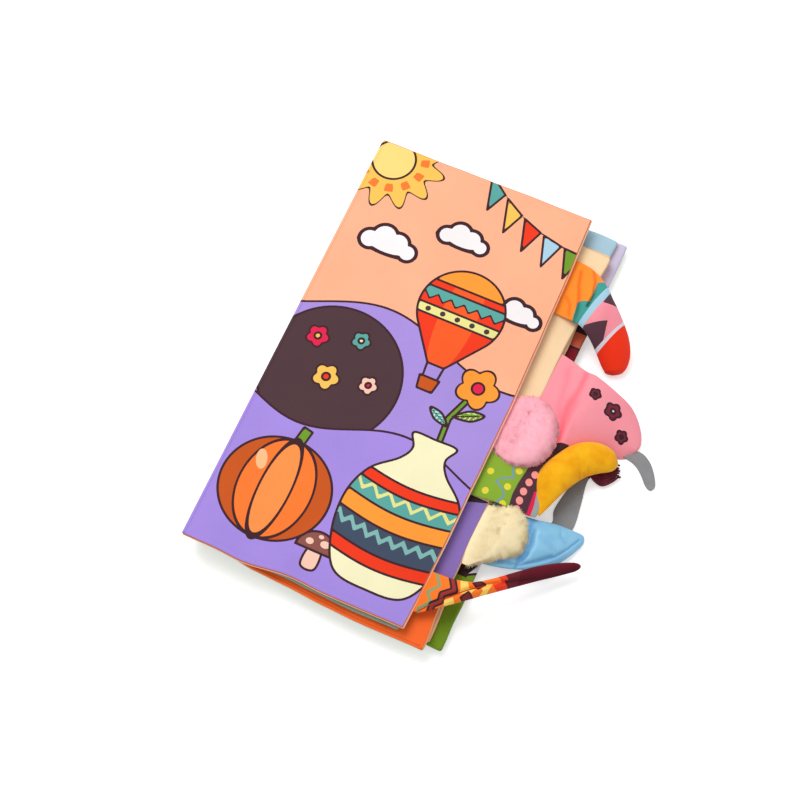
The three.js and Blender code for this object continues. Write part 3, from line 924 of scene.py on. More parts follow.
def fourth_front(x, y, hem):
    """Bands that show past the other leaves: lilac, terracotta, dark red, pale lilac, then green."""
    wedge = polygon(x, y, [(60, -62), (75.9, -69.6), (72, -76.9), (70, -81), (60, -84)])
    grass = polygon(x, y, [(60, -84), (70.7, -80.5), (71.8, -76.9), (78, -73.2), (84, -73.4), (84, -79),
                           (60, -95)])
    return [
        (y - 65.5, "#341C22", NO_INK),
        (y - 61, "#C85C40", INK_WIDTH),
        (y - 52, "#7D061C", INK_WIDTH),
        (y - 43, "#B9B4BE", INK_WIDTH),
        (y + 66, "#E4E8FA", NO_INK),
        (wedge, "#2E1418", NO_INK),
        (grass, "#73981C", INK_WIDTH),
        (y + 78, "#6D8F12", NO_INK),
        *sun(x, y, (-20, 20), 18),
    ]


pictures = {
    ("back_cover", 1): (PLUM, "plum_print", country_page(PLUM, VIOLET, GOLD)),
    ("back_cover", -1): (PLUM, "plum_print", country_page(PLUM, VIOLET, SHELL_PINK)),
    ("fourth_leaf", 1): ("#CFC5E0", "lavender_print", fourth_front),
    ("fourth_leaf", -1): (PAGE_GREEN, "green_print", country_page(PAGE_GREEN, TEAL, RED)),
    ("third_leaf", 1): ("#F0D3A6", "blue_print", third_front),
    ("third_leaf", -1): (BEIGE, "beige_print", country_page(BEIGE, "#FF9A6B", CRIMSON)),
    ("second_leaf", 1): ("#FBDBAE", "beige_print", second_front),
    ("second_leaf", -1): (ORANGE, "orange_print", country_page(ORANGE, RUST, GOLD)),
    ("first_leaf", 1): (
        PAGE_SAGE, "sage_print", country_page(PAGE_SAGE, "#5F8F7D", SHELL_PINK, WIDE_BORDER)
    ),
    ("first_leaf", -1): (SAGE, "sage_print", country_page(SAGE, TEAL, GOLD)),
    ("front_cover", 1): (PEACH, "peach_print", cover_picture),
    ("front_cover", -1): (PEACH, "peach_print", country_page(PEACH, LAVENDER, TEAL)),
}

# %% The twelve panels
panels = {}
for (leaf, side), (ground, slot_name, picture) in pictures.items():
    fine = leaf == "front_cover" and side > 0
    spacing = COVER_SPACING if fine else PAGE_SPACING
    sample = picture(*(np.zeros((1, 1)) for _ in range(3)))
    face = "front" if side > 0 else "back"
    material = printed_cloth(f"printed_polyester_{leaf}_{face}", ground, sample)
    made = leaf_panel(leaf, side, spacing, material, picture)
    panels[leaf, side] = made
    print(made.name, len(made.data.vertices), "points", len(sample), "shapes")


# %% [markdown]
# What makes the book crackle is a sheet of stiff clear film sewn inside each leaf. It can't be seen
# from outside, but it is a real piece. Its crumpled look is many flat facets, made here by taking the
# highest of several tilted planes at every point, in place of smooth noise.

# %% Crinkle film
FILM_MARGIN = 4.4
FILM_SPACING = 3.0
CRUMPLE = 0.35
CREASE_MIDDLE = 0.35
FACETS = [(1, 0.3, 23), (-0.4, 1, 31), (0.7, 0.9, 17)]


def crinkle_film(leaf, material):
    """A flat grid whose height is the peak of three sets of tilted planes, each with its period."""
    left, edge, foot, head, slope, _, low, high = outline(leaf)
    width = edge - left + min(value for _, value in FORE_LINE.get(leaf, LEVEL))
    a = np.arange(FILM_MARGIN, width - FILM_MARGIN, FILM_SPACING)
    b = np.arange(FILM_MARGIN, head - foot - FILM_MARGIN, FILM_SPACING)
    across, along = np.meshgrid(a, b)
    x, y = left + across, foot + along - across * slope
    folds = [np.abs(((x * c + y * s) / period) % 1 - 0.5) for c, s, period in FACETS]
    crease = 4 * (np.maximum.reduce(folds) - CREASE_MIDDLE)
    z = (low + high) / 2 + CRUMPLE * crease + swell(leaf, x, y, np.minimum(across, along))
    faces = grid_faces(*x.shape, False)
    made = piece(f"{leaf}_film_sheet", grid_points(x, y, z), faces, material, leaf, smooth=False)
    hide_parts(f"{leaf}_crinkle_film")
    return made


def clear_film():
    """Polypropylene film: clear, hard and glossy, so that only its facets glint."""
    material, tree = new_material("clear_polypropylene_film")
    bump = relief(tree, noise(tree, 4, 3), 0.2)
    inputs = {"Base Color": linear("#F4F7F8"), "Roughness": 0.16, "IOR": 1.49, "Alpha": 0.55}
    inputs["Normal"] = bump
    close(tree, add(tree, "BsdfPrincipled", inputs).outputs[0])
    return material


film = clear_film()
for leaf in LEAVES:
    crinkle_film(leaf, film)
print("films", len(LEAVES))

# %% [markdown]
# At the spine each leaf is bound by a folded tape, sewn over the leaf's edge, and each tape is
# stitched to the next one. The tape is half an ellipse carried along the spine. The link between two
# tapes is a narrow strip that bulges outwards. It crosses a joint, and it rides on neither leaf.

# %% Spine tapes and links
TAPE_REACH = 1.4
TAPE_START = -57.8
TAPE_PROUD = -0.2
TAPE_COLUMNS = 17
TAPE_SPACING = 1.0
FAR_FROM_HEM = 9
TAPE_INSET = 0.8
LINK_OUT = -59.3
LINK_IN = -58.6
LINK_COLUMNS = 9
LINK_SPREAD = 0.36


def spine_strip(leaf, name, across, height, material, body):
    """A strip along the spine: one profile of x and z, carried along the leaf's own slope."""
    _, _, foot, head, slope, _, _, _ = outline(leaf)
    start = foot + TAPE_INSET + FOOT_LINE.get(leaf, LEVEL)[0][1]
    along = np.arange(start, head - TAPE_INSET, TAPE_SPACING)
    x = np.broadcast_to(across, (len(along), len(across)))
    y = along[:, None] - (x - TAPE_START) * slope
    z = np.broadcast_to(height, x.shape)
    made = piece(name, grid_points(x, y, z), grid_faces(*x.shape, False), material, body)
    thicken(made)
    return made


def spine_tape(leaf, material):
    """Half an ellipse round the leaf's spine edge, from its top to its underside."""
    low, high = outline(leaf)[6:]
    turn = np.linspace(math.pi / 2, 3 * math.pi / 2, TAPE_COLUMNS)
    across = TAPE_START + TAPE_REACH * np.cos(turn)
    height = (low + high) / 2 + ((high - low) / 2 + TAPE_PROUD) * np.sin(turn)
    made = spine_strip(leaf, f"{leaf}_spine_tape", across, height, material, leaf)
    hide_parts(f"{leaf}_spine_fold")
    if leaf == "front_cover":
        x, y, _ = mesh_points(made.data).T
        store(made, cover_picture(x, y, np.full(x.shape, FAR_FROM_HEM)))
    return made


def spine_link(lower, upper, material):
    """An arc from one tape to the next, furthest out level with the joint between them."""
    middle = (outline(lower)[7] + outline(upper)[6]) / 2
    span = outline(upper)[6] - outline(lower)[6]
    turn = np.linspace(-math.pi / 2, math.pi / 2, LINK_COLUMNS)
    across = LINK_IN + (LINK_OUT - LINK_IN) * np.cos(turn)
    height = middle + span * LINK_SPREAD * np.sin(turn)
    made = spine_strip(lower, f"{lower}_spine_link", across, height[::-1], material, None)
    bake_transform(made)
    return made


TAPE_COLOUR = dict(zip(LEAVES, [PLUM, "#BDA9D8", BEIGE, ORANGE, SAGE, PEACH]))
TAPE_SLOT = ["plum_print", "lavender_print", "beige_print", "orange_print", "sage_print", "peach_print"]
hems = {leaf: [] for leaf in LEAVES}
tapes = {}
for leaf, slot_name in zip(LEAVES, TAPE_SLOT):
    sample = cover_picture(*np.zeros((3, 1))) if leaf == "front_cover" else []
    cloth = printed_cloth(f"binding_tape_{leaf}", TAPE_COLOUR[leaf], sample)
    tapes[leaf] = cloth
    hems[leaf].append(spine_tape(leaf, cloth))
for lower, upper, slot_name in zip(LEAVES, LEAVES[1:], TAPE_SLOT):
    hems[lower].append(spine_link(lower, upper, tapes[lower]))

# %% [markdown]
# The size that each leaf's panels were cut to is printed. A panel is cut as large as the
# leaf, plus the roll at its edge.

# %% Cut sizes of the panels
for (leaf, side), made in panels.items():
    left, edge, foot, head = outline(leaf)[:4]
    flat = ((edge - left + 2 * RIM) * MM, (head - foot + 2 * RIM) * MM)
    if side > 0:
        print(leaf, "cut to", [round(v * 1000, 1) for v in flat], "mm")


# %% [markdown]
# The tails are the book's best part. Each is two shapes of cloth sewn together, turned, some stuffed
# with wadding, with their open end caught in the seam of a leaf. A table gives points of each one's
# upper and lower edge. A smooth line goes through the points, and at every step along the tail a
# ring joins the two edges: flat at the seams and crowned between them, like a cushion.

# %% The soft form of a tail
RING = 96
STEPS = 130
CROWN = 1.2
TIP_ROUND = 0.05
ROOT_INSIDE = 4.6
ROOT_STEPS = 6
LOWEST = 0.1
LINE_STEPS = 600
WIDTH_STEPS = 60
ROOT_SHARE = 0.001
CREASE_SLANT = 0.03
UP = np.array([0.0, 0.0, 1.0])


def length_of(vectors):
    """Lengths of the vectors in an array, one column for each."""
    return np.linalg.norm(vectors, axis=-1, keepdims=True)


def smooth_line(corners, shares):
    """A centripetal Catmull-Rom line through the corners, read at shares of its length.

    Knots are spaced as the square root of the gap between corners, and each point is three
    rounds of blending between neighbours. The length is summed over many short steps.
    """
    p = np.array(corners, float)
    p = np.vstack([2 * p[0] - p[1], p, 2 * p[-1] - p[-2]])
    knots = np.concatenate([[0], np.cumsum(np.sqrt(np.linalg.norm(np.diff(p, axis=0), axis=1)))])
    t = np.linspace(knots[1], knots[-2], LINE_STEPS)
    i = np.clip(np.searchsorted(knots, t, side="right") - 1, 1, len(knots) - 3)
    p0, p1, p2, p3 = (p[i + n] for n in (-1, 0, 1, 2))
    k0, k1, k2, k3 = (knots[i + n] for n in (-1, 0, 1, 2))

    def slide(a, b, low, high):
        return a + (b - a) * ((t - low) / (high - low))[:, None]

    first, second, third = slide(p0, p1, k0, k1), slide(p1, p2, k1, k2), slide(p2, p3, k2, k3)
    near, far = slide(first, second, k0, k2), slide(second, third, k1, k3)
    line = slide(near, far, k1, k2)
    run = np.concatenate([[0], np.cumsum(np.linalg.norm(np.diff(line, axis=0), axis=1))])
    want = np.clip(shares, 0, 1) * run[-1]
    return np.stack([np.interp(want, run, line[:, k]) for k in (0, 1)], axis=-1)


def tail_form(shape, first=0.0, last=1.0, inside=ROOT_INSIDE):
    """Rings of a tail from one share of its length to another, with its root run back into the seam.

    Its fullness is the square root of width over greatest width. Thickness goes from the neck to
    that fullness as a smoothstep, and the underside goes from its base height to its tip height.
    A ring's lift is the sine of its turn, to the power of the crown. Returns the rings of points,
    the share along the tail of each ring, and the place across of each column, from -1 to 1.
    """
    every = np.linspace(0, 1, WIDTH_STEPS)
    widest = length_of(smooth_line(shape["upper"], every) - smooth_line(shape["lower"], every)).max()
    share = np.linspace(first, last, STEPS)
    upper, lower = smooth_line(shape["upper"], share), smooth_line(shape["lower"], share)
    width = length_of(upper - lower)[:, 0]
    rise = smoothstep(shape.get("flat", 0), shape["rise"], share)
    full = np.maximum(shape["neck"], shape["thick"] * np.sqrt(width / widest))
    thick = full * rise + shape["neck"] * (1 - rise)
    fall = smoothstep(shape["hold"], shape["settle"], share)
    under = shape["base"] + (shape["tip"] - shape["base"]) * fall
    turn = np.linspace(0, 2 * math.pi, RING, endpoint=False)
    across = np.cos(turn)
    lift = np.sign(np.sin(turn)) * np.abs(np.sin(turn)) ** shape.get("crown", CROWN)
    before_end = np.clip((last - share) / shape.get("round", TIP_ROUND), 0, 1)
    closing = np.sqrt(1 - (1 - before_end) ** 2) if last == 1.0 else np.ones_like(share)
    middle, half = (upper + lower) / 2, (upper - lower) / 2
    flat = middle[:, None] + half[:, None] * across[:, None] * closing[:, None, None]
    hang = shape.get("droop", 0) * rise[:, None] * smoothstep(-0.2, 1, -across)
    level = (under + thick / 2)[:, None] + thick[:, None] / 2 * lift * closing[:, None] - hang
    rings = np.concatenate([flat, np.maximum(level, LOWEST)[..., None]], axis=-1)
    if first == 0.0 and "back" in shape:
        steps_back = np.linspace(inside, 0, ROOT_STEPS, endpoint=False)
        root = np.repeat(rings[:1], ROOT_STEPS, axis=0)
        root[..., :2] += steps_back[:, None, None] * np.asarray(shape["back"])
        rings = np.concatenate([root, rings])
        share = np.concatenate([-steps_back * ROOT_SHARE, share])
    return rings, share, across


def line_press(corners, width, depth):
    """A press that is deepest on a bent line and fades as a bell curve to both sides."""
    return lambda x, y: depth * np.exp(-((stroke(x, y, corners, 0) / width) ** 2))


def flattened(rings, share):
    """Rings pressed flatter: every point moves up or down towards its ring's middle by that share."""
    middle = rings[..., 2].mean(axis=1, keepdims=True)
    made = rings.copy()
    made[..., 2] = middle + (rings[..., 2] - middle) * (1 - share)
    return made


def pressed(rings, *presses):
    """Rings flattened by several presses at once, and by which share."""
    share = 1 - np.prod([1 - press(rings[..., 0], rings[..., 1]) for press in presses], axis=0)
    return flattened(rings, share), share


def gathered(rings, share, across, creases, side):
    """Short creases that run in from one seam, deepest there. Each has its share, reach, depth, width."""
    press = np.zeros(rings.shape[:2])
    for place, reach, depth, width in creases:
        fade = smoothstep(1 - reach, 1, side * across)
        slant = share[:, None] + CREASE_SLANT * (side * across - 1)
        press = np.maximum(press, depth * fade * np.exp(-(((slant - place) / width) ** 2)))
    return flattened(rings, press), press


def capped(rings):
    """The first and last rings drawn in to a point, so that both ends are closed."""
    ends = [rings[k : k + 1].mean(axis=1, keepdims=True).repeat(RING, 1) for k in (0, len(rings) - 1)]
    return np.concatenate([ends[0], rings, ends[1]])


def tail_piece(name, rings, material, body=None, fold=None):
    """A closed tube from the rings. Each point's fold depth and painted shadow are kept, for the material's
    painted shade.
    """
    closed_rings = capped(rings)
    made = piece(name, tube_points(closed_rings), tube_faces(*closed_rings.shape[:2]), material, body)
    if fold is not None:
        attribute = made.data.attributes.new("fold", "FLOAT", "POINT")
        deep = np.concatenate([fold[:1], fold, fold[-1:]])
        attribute.data.foreach_set("value", tube_values(deep).astype(np.float32))
    return made


def bend_at(made, joint_child):
    """Bakes the piece's place into its points. The joint's axis and the way out of the leaf are worked out,
    but not used.
    """
    joint = joints[joint_child]
    axis = np.array(joint["axis"], float)
    outwards = np.cross(UP, axis)
    if outwards[0] < 0:
        outwards = -outwards
    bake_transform(made)


def print_on(made, rings, design):
    """Stores a design's distances, read from above, on a tail."""
    closed_rings = capped(rings)
    store(made, design(closed_rings[..., 0], closed_rings[..., 1]), tube_values)


TAILS = {
    "zigzag_tail": dict(
        upper=[(59.9, -84.5), (69, -84), (77.8, -81.6), (84.6, -76.6), (92.8, -68.8), (101, -61),
               (110, -54.4), (119.4, -49.4)],
        lower=[(59.9, -105.6), (68.3, -99.4), (76.6, -92.6), (84.7, -85.2), (95.6, -75.2), (104, -67.6),
               (112.4, -60.4), (121.4, -52.6)],
        base=17.05, neck=1.8, thick=8, tip=6, rise=0.3, hold=0.1, settle=1, back=(-1, 0),
    ),
    "banded_tail": dict(
        upper=[(60.5, 92.8), (66.9, 91.4), (75.4, 86.5), (82.9, 79.5), (90.9, 72.6), (97.6, 65.8),
               (101.4, 58.6), (101.9, 52.2), (100.4, 48.6)],
        lower=[(60.5, 62), (71.3, 60.2), (78.9, 56.8), (85.1, 52.6), (90.2, 48.4), (93.6, 46)],
        base=13.75, neck=1.8, thick=11, tip=1, rise=0.5, hold=0.3, settle=1, back=(-1, 0), round=0.025,
    ),
    "pink_plush_tail": dict(
        upper=[(60.2, 13), (66, 15), (72, 14.4), (77.6, 12), (82, 8), (84.4, 2.8), (85, -1.4)],
        lower=[(60.2, -15.2), (63.6, -17.8), (69.3, -19.4), (75.4, -18.8), (80.6, -15.8), (83.8, -10.6),
               (85, -4.6)],
        base=13.75, neck=1.8, thick=9.5, tip=13.4, rise=0.4, hold=0, settle=1, back=(-1, 0),
    ),
    "green_sleeve": dict(
        upper=[(61, -18), (66, -18.8), (73, -19.2), (79, -14.6), (83.8, -9.4), (88, -3.4)],
        lower=[(61, -41.2), (68.8, -40.4), (80.1, -39.8), (87.5, -39.3), (92.8, -38.4)],
        base=13.75, neck=1.8, thick=3.2, tip=9.2, rise=0.2, hold=0.3, settle=1, back=(-1, 0),
    ),
    "golden_tip": dict(
        upper=[(82.4, -28), (83, -21.6), (84.8, -13.6), (88.4, -5.8), (93.2, 2.1), (99, 7), (106, 9.4),
               (112.9, 8.6), (116.9, 5.4)],
        lower=[(92.8, -36.9), (96, -29.5), (98.8, -23), (102.2, -15.6), (106, -9.6), (110.4, -5.4),
               (115.4, -1.6), (117.7, 1.9)],
        base=8.6, neck=3.2, thick=10.5, tip=3.9, rise=0.35, hold=0.1, settle=1,
    ),
    "pink_flap": dict(
        upper=[(70.2, 44.6), (77.3, 42.9), (84, 41), (93.5, 39), (103.3, 36.6), (111.6, 33.9), (117, 29.8),
               (121.6, 23.8), (123.9, 17.8)],
        lower=[(70.2, -3), (77, -5.6), (83, -8.8), (87.6, -6.8), (91.8, -1.6), (98, 3), (104, 5.4),
               (110, 7.4), (114.2, 8), (117.8, 9), (121.4, 11.6)],
        base=10.45, neck=1.8, thick=7.4, tip=0.3, flat=0.235, rise=0.34, hold=0.27, settle=1, back=(-1, 0),
        droop=2.6, round=0.03,
    ),
    "felt_hook": dict(
        upper=[(122.4, 15.8), (126.4, 15.4), (131.4, 12.2), (135.4, 7), (137.6, 2.3), (137.1, -0.1)],
        lower=[(116.4, 10.2), (121.4, 9.6), (125.4, 8), (129.1, 5), (133, 0.8), (135.7, -0.8)],
        base=0.2, neck=1.6, thick=1.6, tip=0, rise=0.2, hold=0, settle=1, crown=0.35,
    ),
    "cream_plush_tail": dict(
        upper=[(71.2, -41.6), (78, -40.5), (84, -40.9), (87.4, -43.6), (89.8, -48), (91.2, -52.6)],
        lower=[(70.8, -73.6), (75.4, -70), (81, -65.9), (86.6, -61.7), (89.9, -59.4), (91.3, -56.4)],
        base=10.45, neck=1.8, thick=8, tip=11.4, rise=0.45, hold=0, settle=1, back=(-1, 0),
    ),
    "satin_fin": dict(
        upper=[(71.7, -41), (79.7, -40.4), (86.2, -39.3), (92.7, -38.3), (101.7, -36), (110.3, -35),
               (115.2, -35), (117, -36.8)],
        lower=[(71.7, -69.6), (77.8, -69), (84.8, -67.8), (91.4, -65.8), (97, -63.4), (104.2, -59.4),
               (109.6, -53.8), (113.6, -47), (116.8, -40)],
        base=7.15, neck=1.8, thick=6.2, tip=0.2, rise=0.6, hold=0.15, settle=1, back=(-1, 0), round=0.03,
    ),
    "felt_strap": dict(
        upper=[(79.7, -40), (91.1, -40), (96.4, -38.4), (98.8, -34.2), (97.3, -29), (98.2, -21), (101, -9),
               (102, -4.6)],
        lower=[(79.7, -49), (92.1, -48.8), (101.1, -46), (107.2, -40), (109.4, -33), (108.4, -21.8),
               (106.6, -9.7), (106.9, -5.6)],
        base=3.95, neck=1.6, thick=1.6, tip=0, rise=0.1, hold=0, settle=0.25, back=(-1, 0), crown=0.35,
        round=0.005,
    ),
    "tassel_binding": dict(
        upper=[(101.9, -6), (102, -4.8)], lower=[(106.7, -6.8), (106.8, -5.6)],
        base=0, neck=2.2, thick=2.2, tip=0, rise=0.3, hold=0, settle=1, crown=0.7, round=0.3,
    ),
    "tassel": dict(
        upper=[(102.4, -4.4), (105, 0), (109.2, 3.4), (113.8, 5), (117.1, 3.2)],
        lower=[(107, -5.4), (110, -7.4), (114, -8.2), (117.2, -4.6), (118.6, 0)],
        base=0, neck=2.2, thick=3.4, tip=0, rise=0.3, hold=0, settle=1,
    ),
}
print("tails", len(TAILS))

# %% [markdown]
# Three sleeves are printed cloth. Their patterns are plain geometry, stripes, triangles and zigzags,
# drawn with the same distances as the cover, read from straight above so that both faces carry them.

# %% Prints of the sleeves
def banded_pattern(x, y):
    """Orange root, teal and pale-blue stripes, pink with dark triangles, a white stripe, red tip."""
    teal = either(
        polygon(x, y, [(72.6, 84.4), (80, 88), (76, 74), (73.2, 69.4)]),
        polygon(x, y, [(67.4, 71.6), (75.4, 73.2), (72.2, 57), (69.4, 55)]),
    )
    blue = polygon(x, y, [(79.5, 89), (78.1, 83.8), (75.2, 73.7), (71.8, 58.6), (71, 53), (74.4, 52),
                          (74.7, 56.9), (77.8, 70.1), (80.8, 79.7), (83, 87)])
    dark = either(
        polygon(x, y, [(79.4, 74.2), (81.2, 84), (88, 76.5)]),
        polygon(x, y, [(75.2, 59.8), (85, 67.1), (87, 56), (85, 49), (75, 53)]),
    )
    pink = polygon(x, y, [(82.5, 88), (80.8, 79.7), (77.8, 70.1), (74.4, 52), (90, 44), (97, 72)])
    white = polygon(x, y, [(92.5, 76), (91.5, 69.8), (85.9, 56.2), (81, 46), (83, 45), (86.9, 54),
                           (92.7, 69.2), (94.2, 75)])
    red = polygon(x, y, [(94.2, 75), (92.7, 69.2), (86.9, 54), (83, 45), (90, 30), (120, 30), (120, 80)])
    return [(pink, "#FF98A6", 0), (teal, "#3C9C92", 0), (blue, "#A6CEE4", 0), (dark, "#55323E", 0),
            (red, "#F83004", 0), (white, "#E4DDE6", 0)]


def green_pattern(x, y):
    """Green with yellow dots and a slate zigzag, then a plum band with pink dots, then two stripes."""
    spots = [(75.6, -21.5), (73.6, -31.1), (74.7, -39.7), (63, -27), (64.5, -37)]
    dots = either(*(ellipse(x, y, p, (1.7, 1.7)) for p in spots))
    line = stroke(x, y, [(71.1, -19), (74.6, -25.8), (70.2, -27.7), (67.6, -30.8), (72, -33.2),
                         (73.9, -36.1), (71.1, -41)], 1.0)
    # The plum band is print. Its upper end, on the raised end of the sleeve, fills the gap under the golden
    # tip as painted shade.
    plum = polygon(x, y, [(79.4, -3), (79.4, -14), (77.5, -26.8), (77.1, -33.3), (78.2, -43), (87.2, -43),
                          (86.3, -30), (86.3, -27), (96, -27), (96, -3)])
    round_spots = [(83.1, -19.6), (82, -24.4), (81.4, -29.7), (81.4, -34.6), (81.8, -39)]
    pale = either(*(ellipse(x, y, p, (1.75, 1.9)) for p in round_spots))
    magenta = polygon(x, y, [(86, -27), (87.2, -43), (89.1, -43), (88.6, -34), (87.2, -27)])
    grey = polygon(x, y, [(87.2, -27), (88.6, -34), (89.1, -43), (100, -43), (100, -27)])
    return [(line, "#7C9AA6", 0), (dots, "#E6D83C", 0), (plum, "#4E2C38", 0), (pale, "#FF9C96", 0),
            (magenta, "#E5174F", 0), (grey, "#9FA3A0", 0)]


# Width of the painted shade line along the zigzag tail's fold.
FOLD_SHADE_LINE = 0.5
ZIGZAG_FOLD = [(58.1, -106.8), (64.2, -99.2), (70.6, -93), (77.4, -86.4), (84.1, -80.6), (93.9, -73.4),
               (103.3, -66.6), (111.9, -60.2), (118.5, -54.6)]


def zigzag_pattern(x, y):
    """Sage and dark zigzags, yellow blocks and dark diamonds on orange, and red spikes into maroon."""
    sage = stroke(x, y, [(60.5, -84.5), (64.2, -89.7), (60.2, -94.6), (63.5, -98.5), (59.4, -103.4),
                         (60.5, -107)], 1.5)
    dark = stroke(x, y, [(67, -82), (71.7, -89.4), (67, -93.2), (67.6, -96.6), (64.6, -99.4),
                         (65, -104)], 2.6)
    yellow = either(
        polygon(x, y, [(71.4, -82), (75.6, -82.6), (77.4, -85.6), (80.4, -84.6), (79.4, -87.2),
                       (74.6, -89.8), (73.6, -86.6)]),
        polygon(x, y, [(69, -95.3), (72.3, -92.6), (74.4, -95.4), (70.6, -99.4)]),
        polygon(x, y, [(81.6, -81.8), (86.6, -78.4), (86, -82.8), (85.4, -88), (82.6, -88.4), (83.8, -84)]),
    )
    diamonds = either(
        polygon(x, y, [(75.6, -91.4), (77.9, -87.2), (80.4, -88.8), (78.6, -93.4)]),
        polygon(x, y, [(78.2, -82.6), (80.8, -80.4), (83.6, -80.4), (81.4, -84)]),
    )
    red = polygon(x, y, [(86.8, -79.2), (90.2, -75.8), (87.4, -74.2), (93, -66), (100, -70), (94, -82),
                         (88.4, -80.2)])
    maroon = polygon(x, y, [(93.8, -77.2), (90.8, -74.6), (92.4, -73.2), (89.6, -71.6), (92.4, -66),
                            (105, -66), (100, -82)])
    # Painted shade: a dark orange line along the fold where the sleeve doubles over, on the orange part
    # only.
    fold = both(stroke(x, y, ZIGZAG_FOLD, FOLD_SHADE_LINE), x - 84)
    return [(sage, "#93A06E", 0), (dark, "#9B2B26", 1.0), (yellow, "#FFD366", 0),
            (diamonds, "#7A2020", 0.9), (fold, "#B2400E", 0), (red, "#EE3A16", 0), (maroon, "#660C1A", 0)]


# %% [markdown]
# Plush is knitted with a pile of cut yarn that stands up from it. From a distance it is a soft, pale
# bloom, and close up its outline is fuzzy. Both need real hairs. Each hair is a bent three-sided spike
# with few faces, and thousands of them are made at once as arrays, at places drawn from a fixed seed.
# A hair that shaded by its own thin sides would sparkle, so it borrows the direction of the cloth.
# Real fibres let light through, and solid ones would darken each other, so they throw no shadow.

# %% Pile of hairs
HAIRS = 20000
HAIR_SIDES = 3
HAIR_WIDTH = 0.17
HAIR_LEAN = 0.28
HAIR_LENGTHS = (0.7, 1.1)
TUFT = 1.9
TUFT_LENGTHS = (0.75, 1.1)
TUFT_LEAN = 0.42
TUFT_BLUR = 0.35
TUFTS = 64
MORE_AT_SIDES = 2.0
HAIR_OWN_SHADE = 0.12
LEAST_AREA = 1e-9
ROOT_SUNK = 0.15
KNEE = 0.55
KNEE_WIDTH = 0.4


def pile(name, grid, count, length, material, seed):
    """Hairs on a grid of rings: three points at the root, three part way up, and one at the tip.

    A face is drawn with a chance that grows with its area, and more so where it stands upright, so
    that the outline is as thick as the top. Its place in the face is two random shares of its sides.
    Outwards is the cross product of the sides. Hairs of one tuft, a cell of a blurred square grid,
    lean the same way and are alike in length, and the upper half leans further.
    """
    drawn = np.random.default_rng(seed)
    a, b = grid[:-1], grid[1:]
    c, d = np.roll(b, -1, axis=1), np.roll(a, -1, axis=1)
    normal = np.cross(d - a, b - a)
    area = length_of(normal)[..., 0]
    upright = 1 - np.abs(normal[..., 2]) / np.maximum(area, LEAST_AREA)
    chance = area * (1 + MORE_AT_SIDES * upright)
    pick = drawn.choice(area.size, count, p=chance.ravel() / chance.sum())
    i, j = np.unravel_index(pick, area.shape)
    u, v = drawn.random((2, count, 1))
    root = (a[i, j] * (1 - u) + d[i, j] * u) * (1 - v) + (b[i, j] * (1 - u) + c[i, j] * u) * v
    out = normal[i, j] / (length_of(normal[i, j]) + TINY)
    cell = np.floor((root + drawn.normal(0, TUFT_BLUR, (count, 3))) / TUFT).astype(int) % TUFTS
    tuft_lean = drawn.normal(0, TUFT_LEAN, (TUFTS, TUFTS, 3))[cell[:, 0], cell[:, 1]]
    tuft_length = drawn.uniform(*TUFT_LENGTHS, (TUFTS, TUFTS, 1))[cell[:, 0], cell[:, 1]]
    lean = tuft_lean + drawn.normal(0, HAIR_LEAN, (count, 3))
    tall = length * tuft_length * drawn.uniform(*HAIR_LENGTHS, (count, 1))
    way = out + lean * 0.5
    way /= length_of(way)
    bend = out + lean
    bend /= length_of(bend)
    side = np.cross(way, [0.3, 0.5, 0.81])
    side /= length_of(side)
    other = np.cross(way, side)
    middle = root + way * tall * KNEE
    tip = middle + bend * tall * 0.5
    turn = np.arange(HAIR_SIDES) * 2 * math.pi / HAIR_SIDES
    ring = side[:, None] * np.cos(turn)[:, None] + other[:, None] * np.sin(turn)[:, None]
    low = root[:, None] - way[:, None] * ROOT_SUNK + ring * HAIR_WIDTH / 2
    high = middle[:, None] + ring * HAIR_WIDTH * KNEE_WIDTH
    points = np.concatenate([low, high, tip[:, None]], axis=1).reshape(-1, 3)
    k = np.arange(HAIR_SIDES)
    n = (k + 1) % HAIR_SIDES
    walls = np.stack([k, n, n + HAIR_SIDES, k + HAIR_SIDES], axis=-1)
    cone = np.stack([k + HAIR_SIDES, n + HAIR_SIDES, np.full(HAIR_SIDES, 2 * HAIR_SIDES)], axis=-1)
    step = (2 * HAIR_SIDES + 1) * np.arange(count)[:, None, None]
    faces = [*(walls + step).reshape(-1, 4).tolist(), *(cone + step).reshape(-1, 3).tolist()]
    made = piece(name, points, faces, material)
    around = np.concatenate([ring, ring, bend[:, None]], axis=1)
    shade = out[:, None] * (1 - HAIR_OWN_SHADE) + around * HAIR_OWN_SHADE
    made.data.normals_split_custom_set_from_vertices((shade / length_of(shade)).reshape(-1, 3).tolist())
    made.visible_shadow = False
    made.visible_diffuse = False
    return made


# %% [markdown]
# Yarn and wound thread are thin tubes that follow paths. One function makes a whole bundle: at each
# point of a path it takes the path's direction, and sets a small ring square to it.

# %% Bundles of yarn
YARN_SIDES = 6


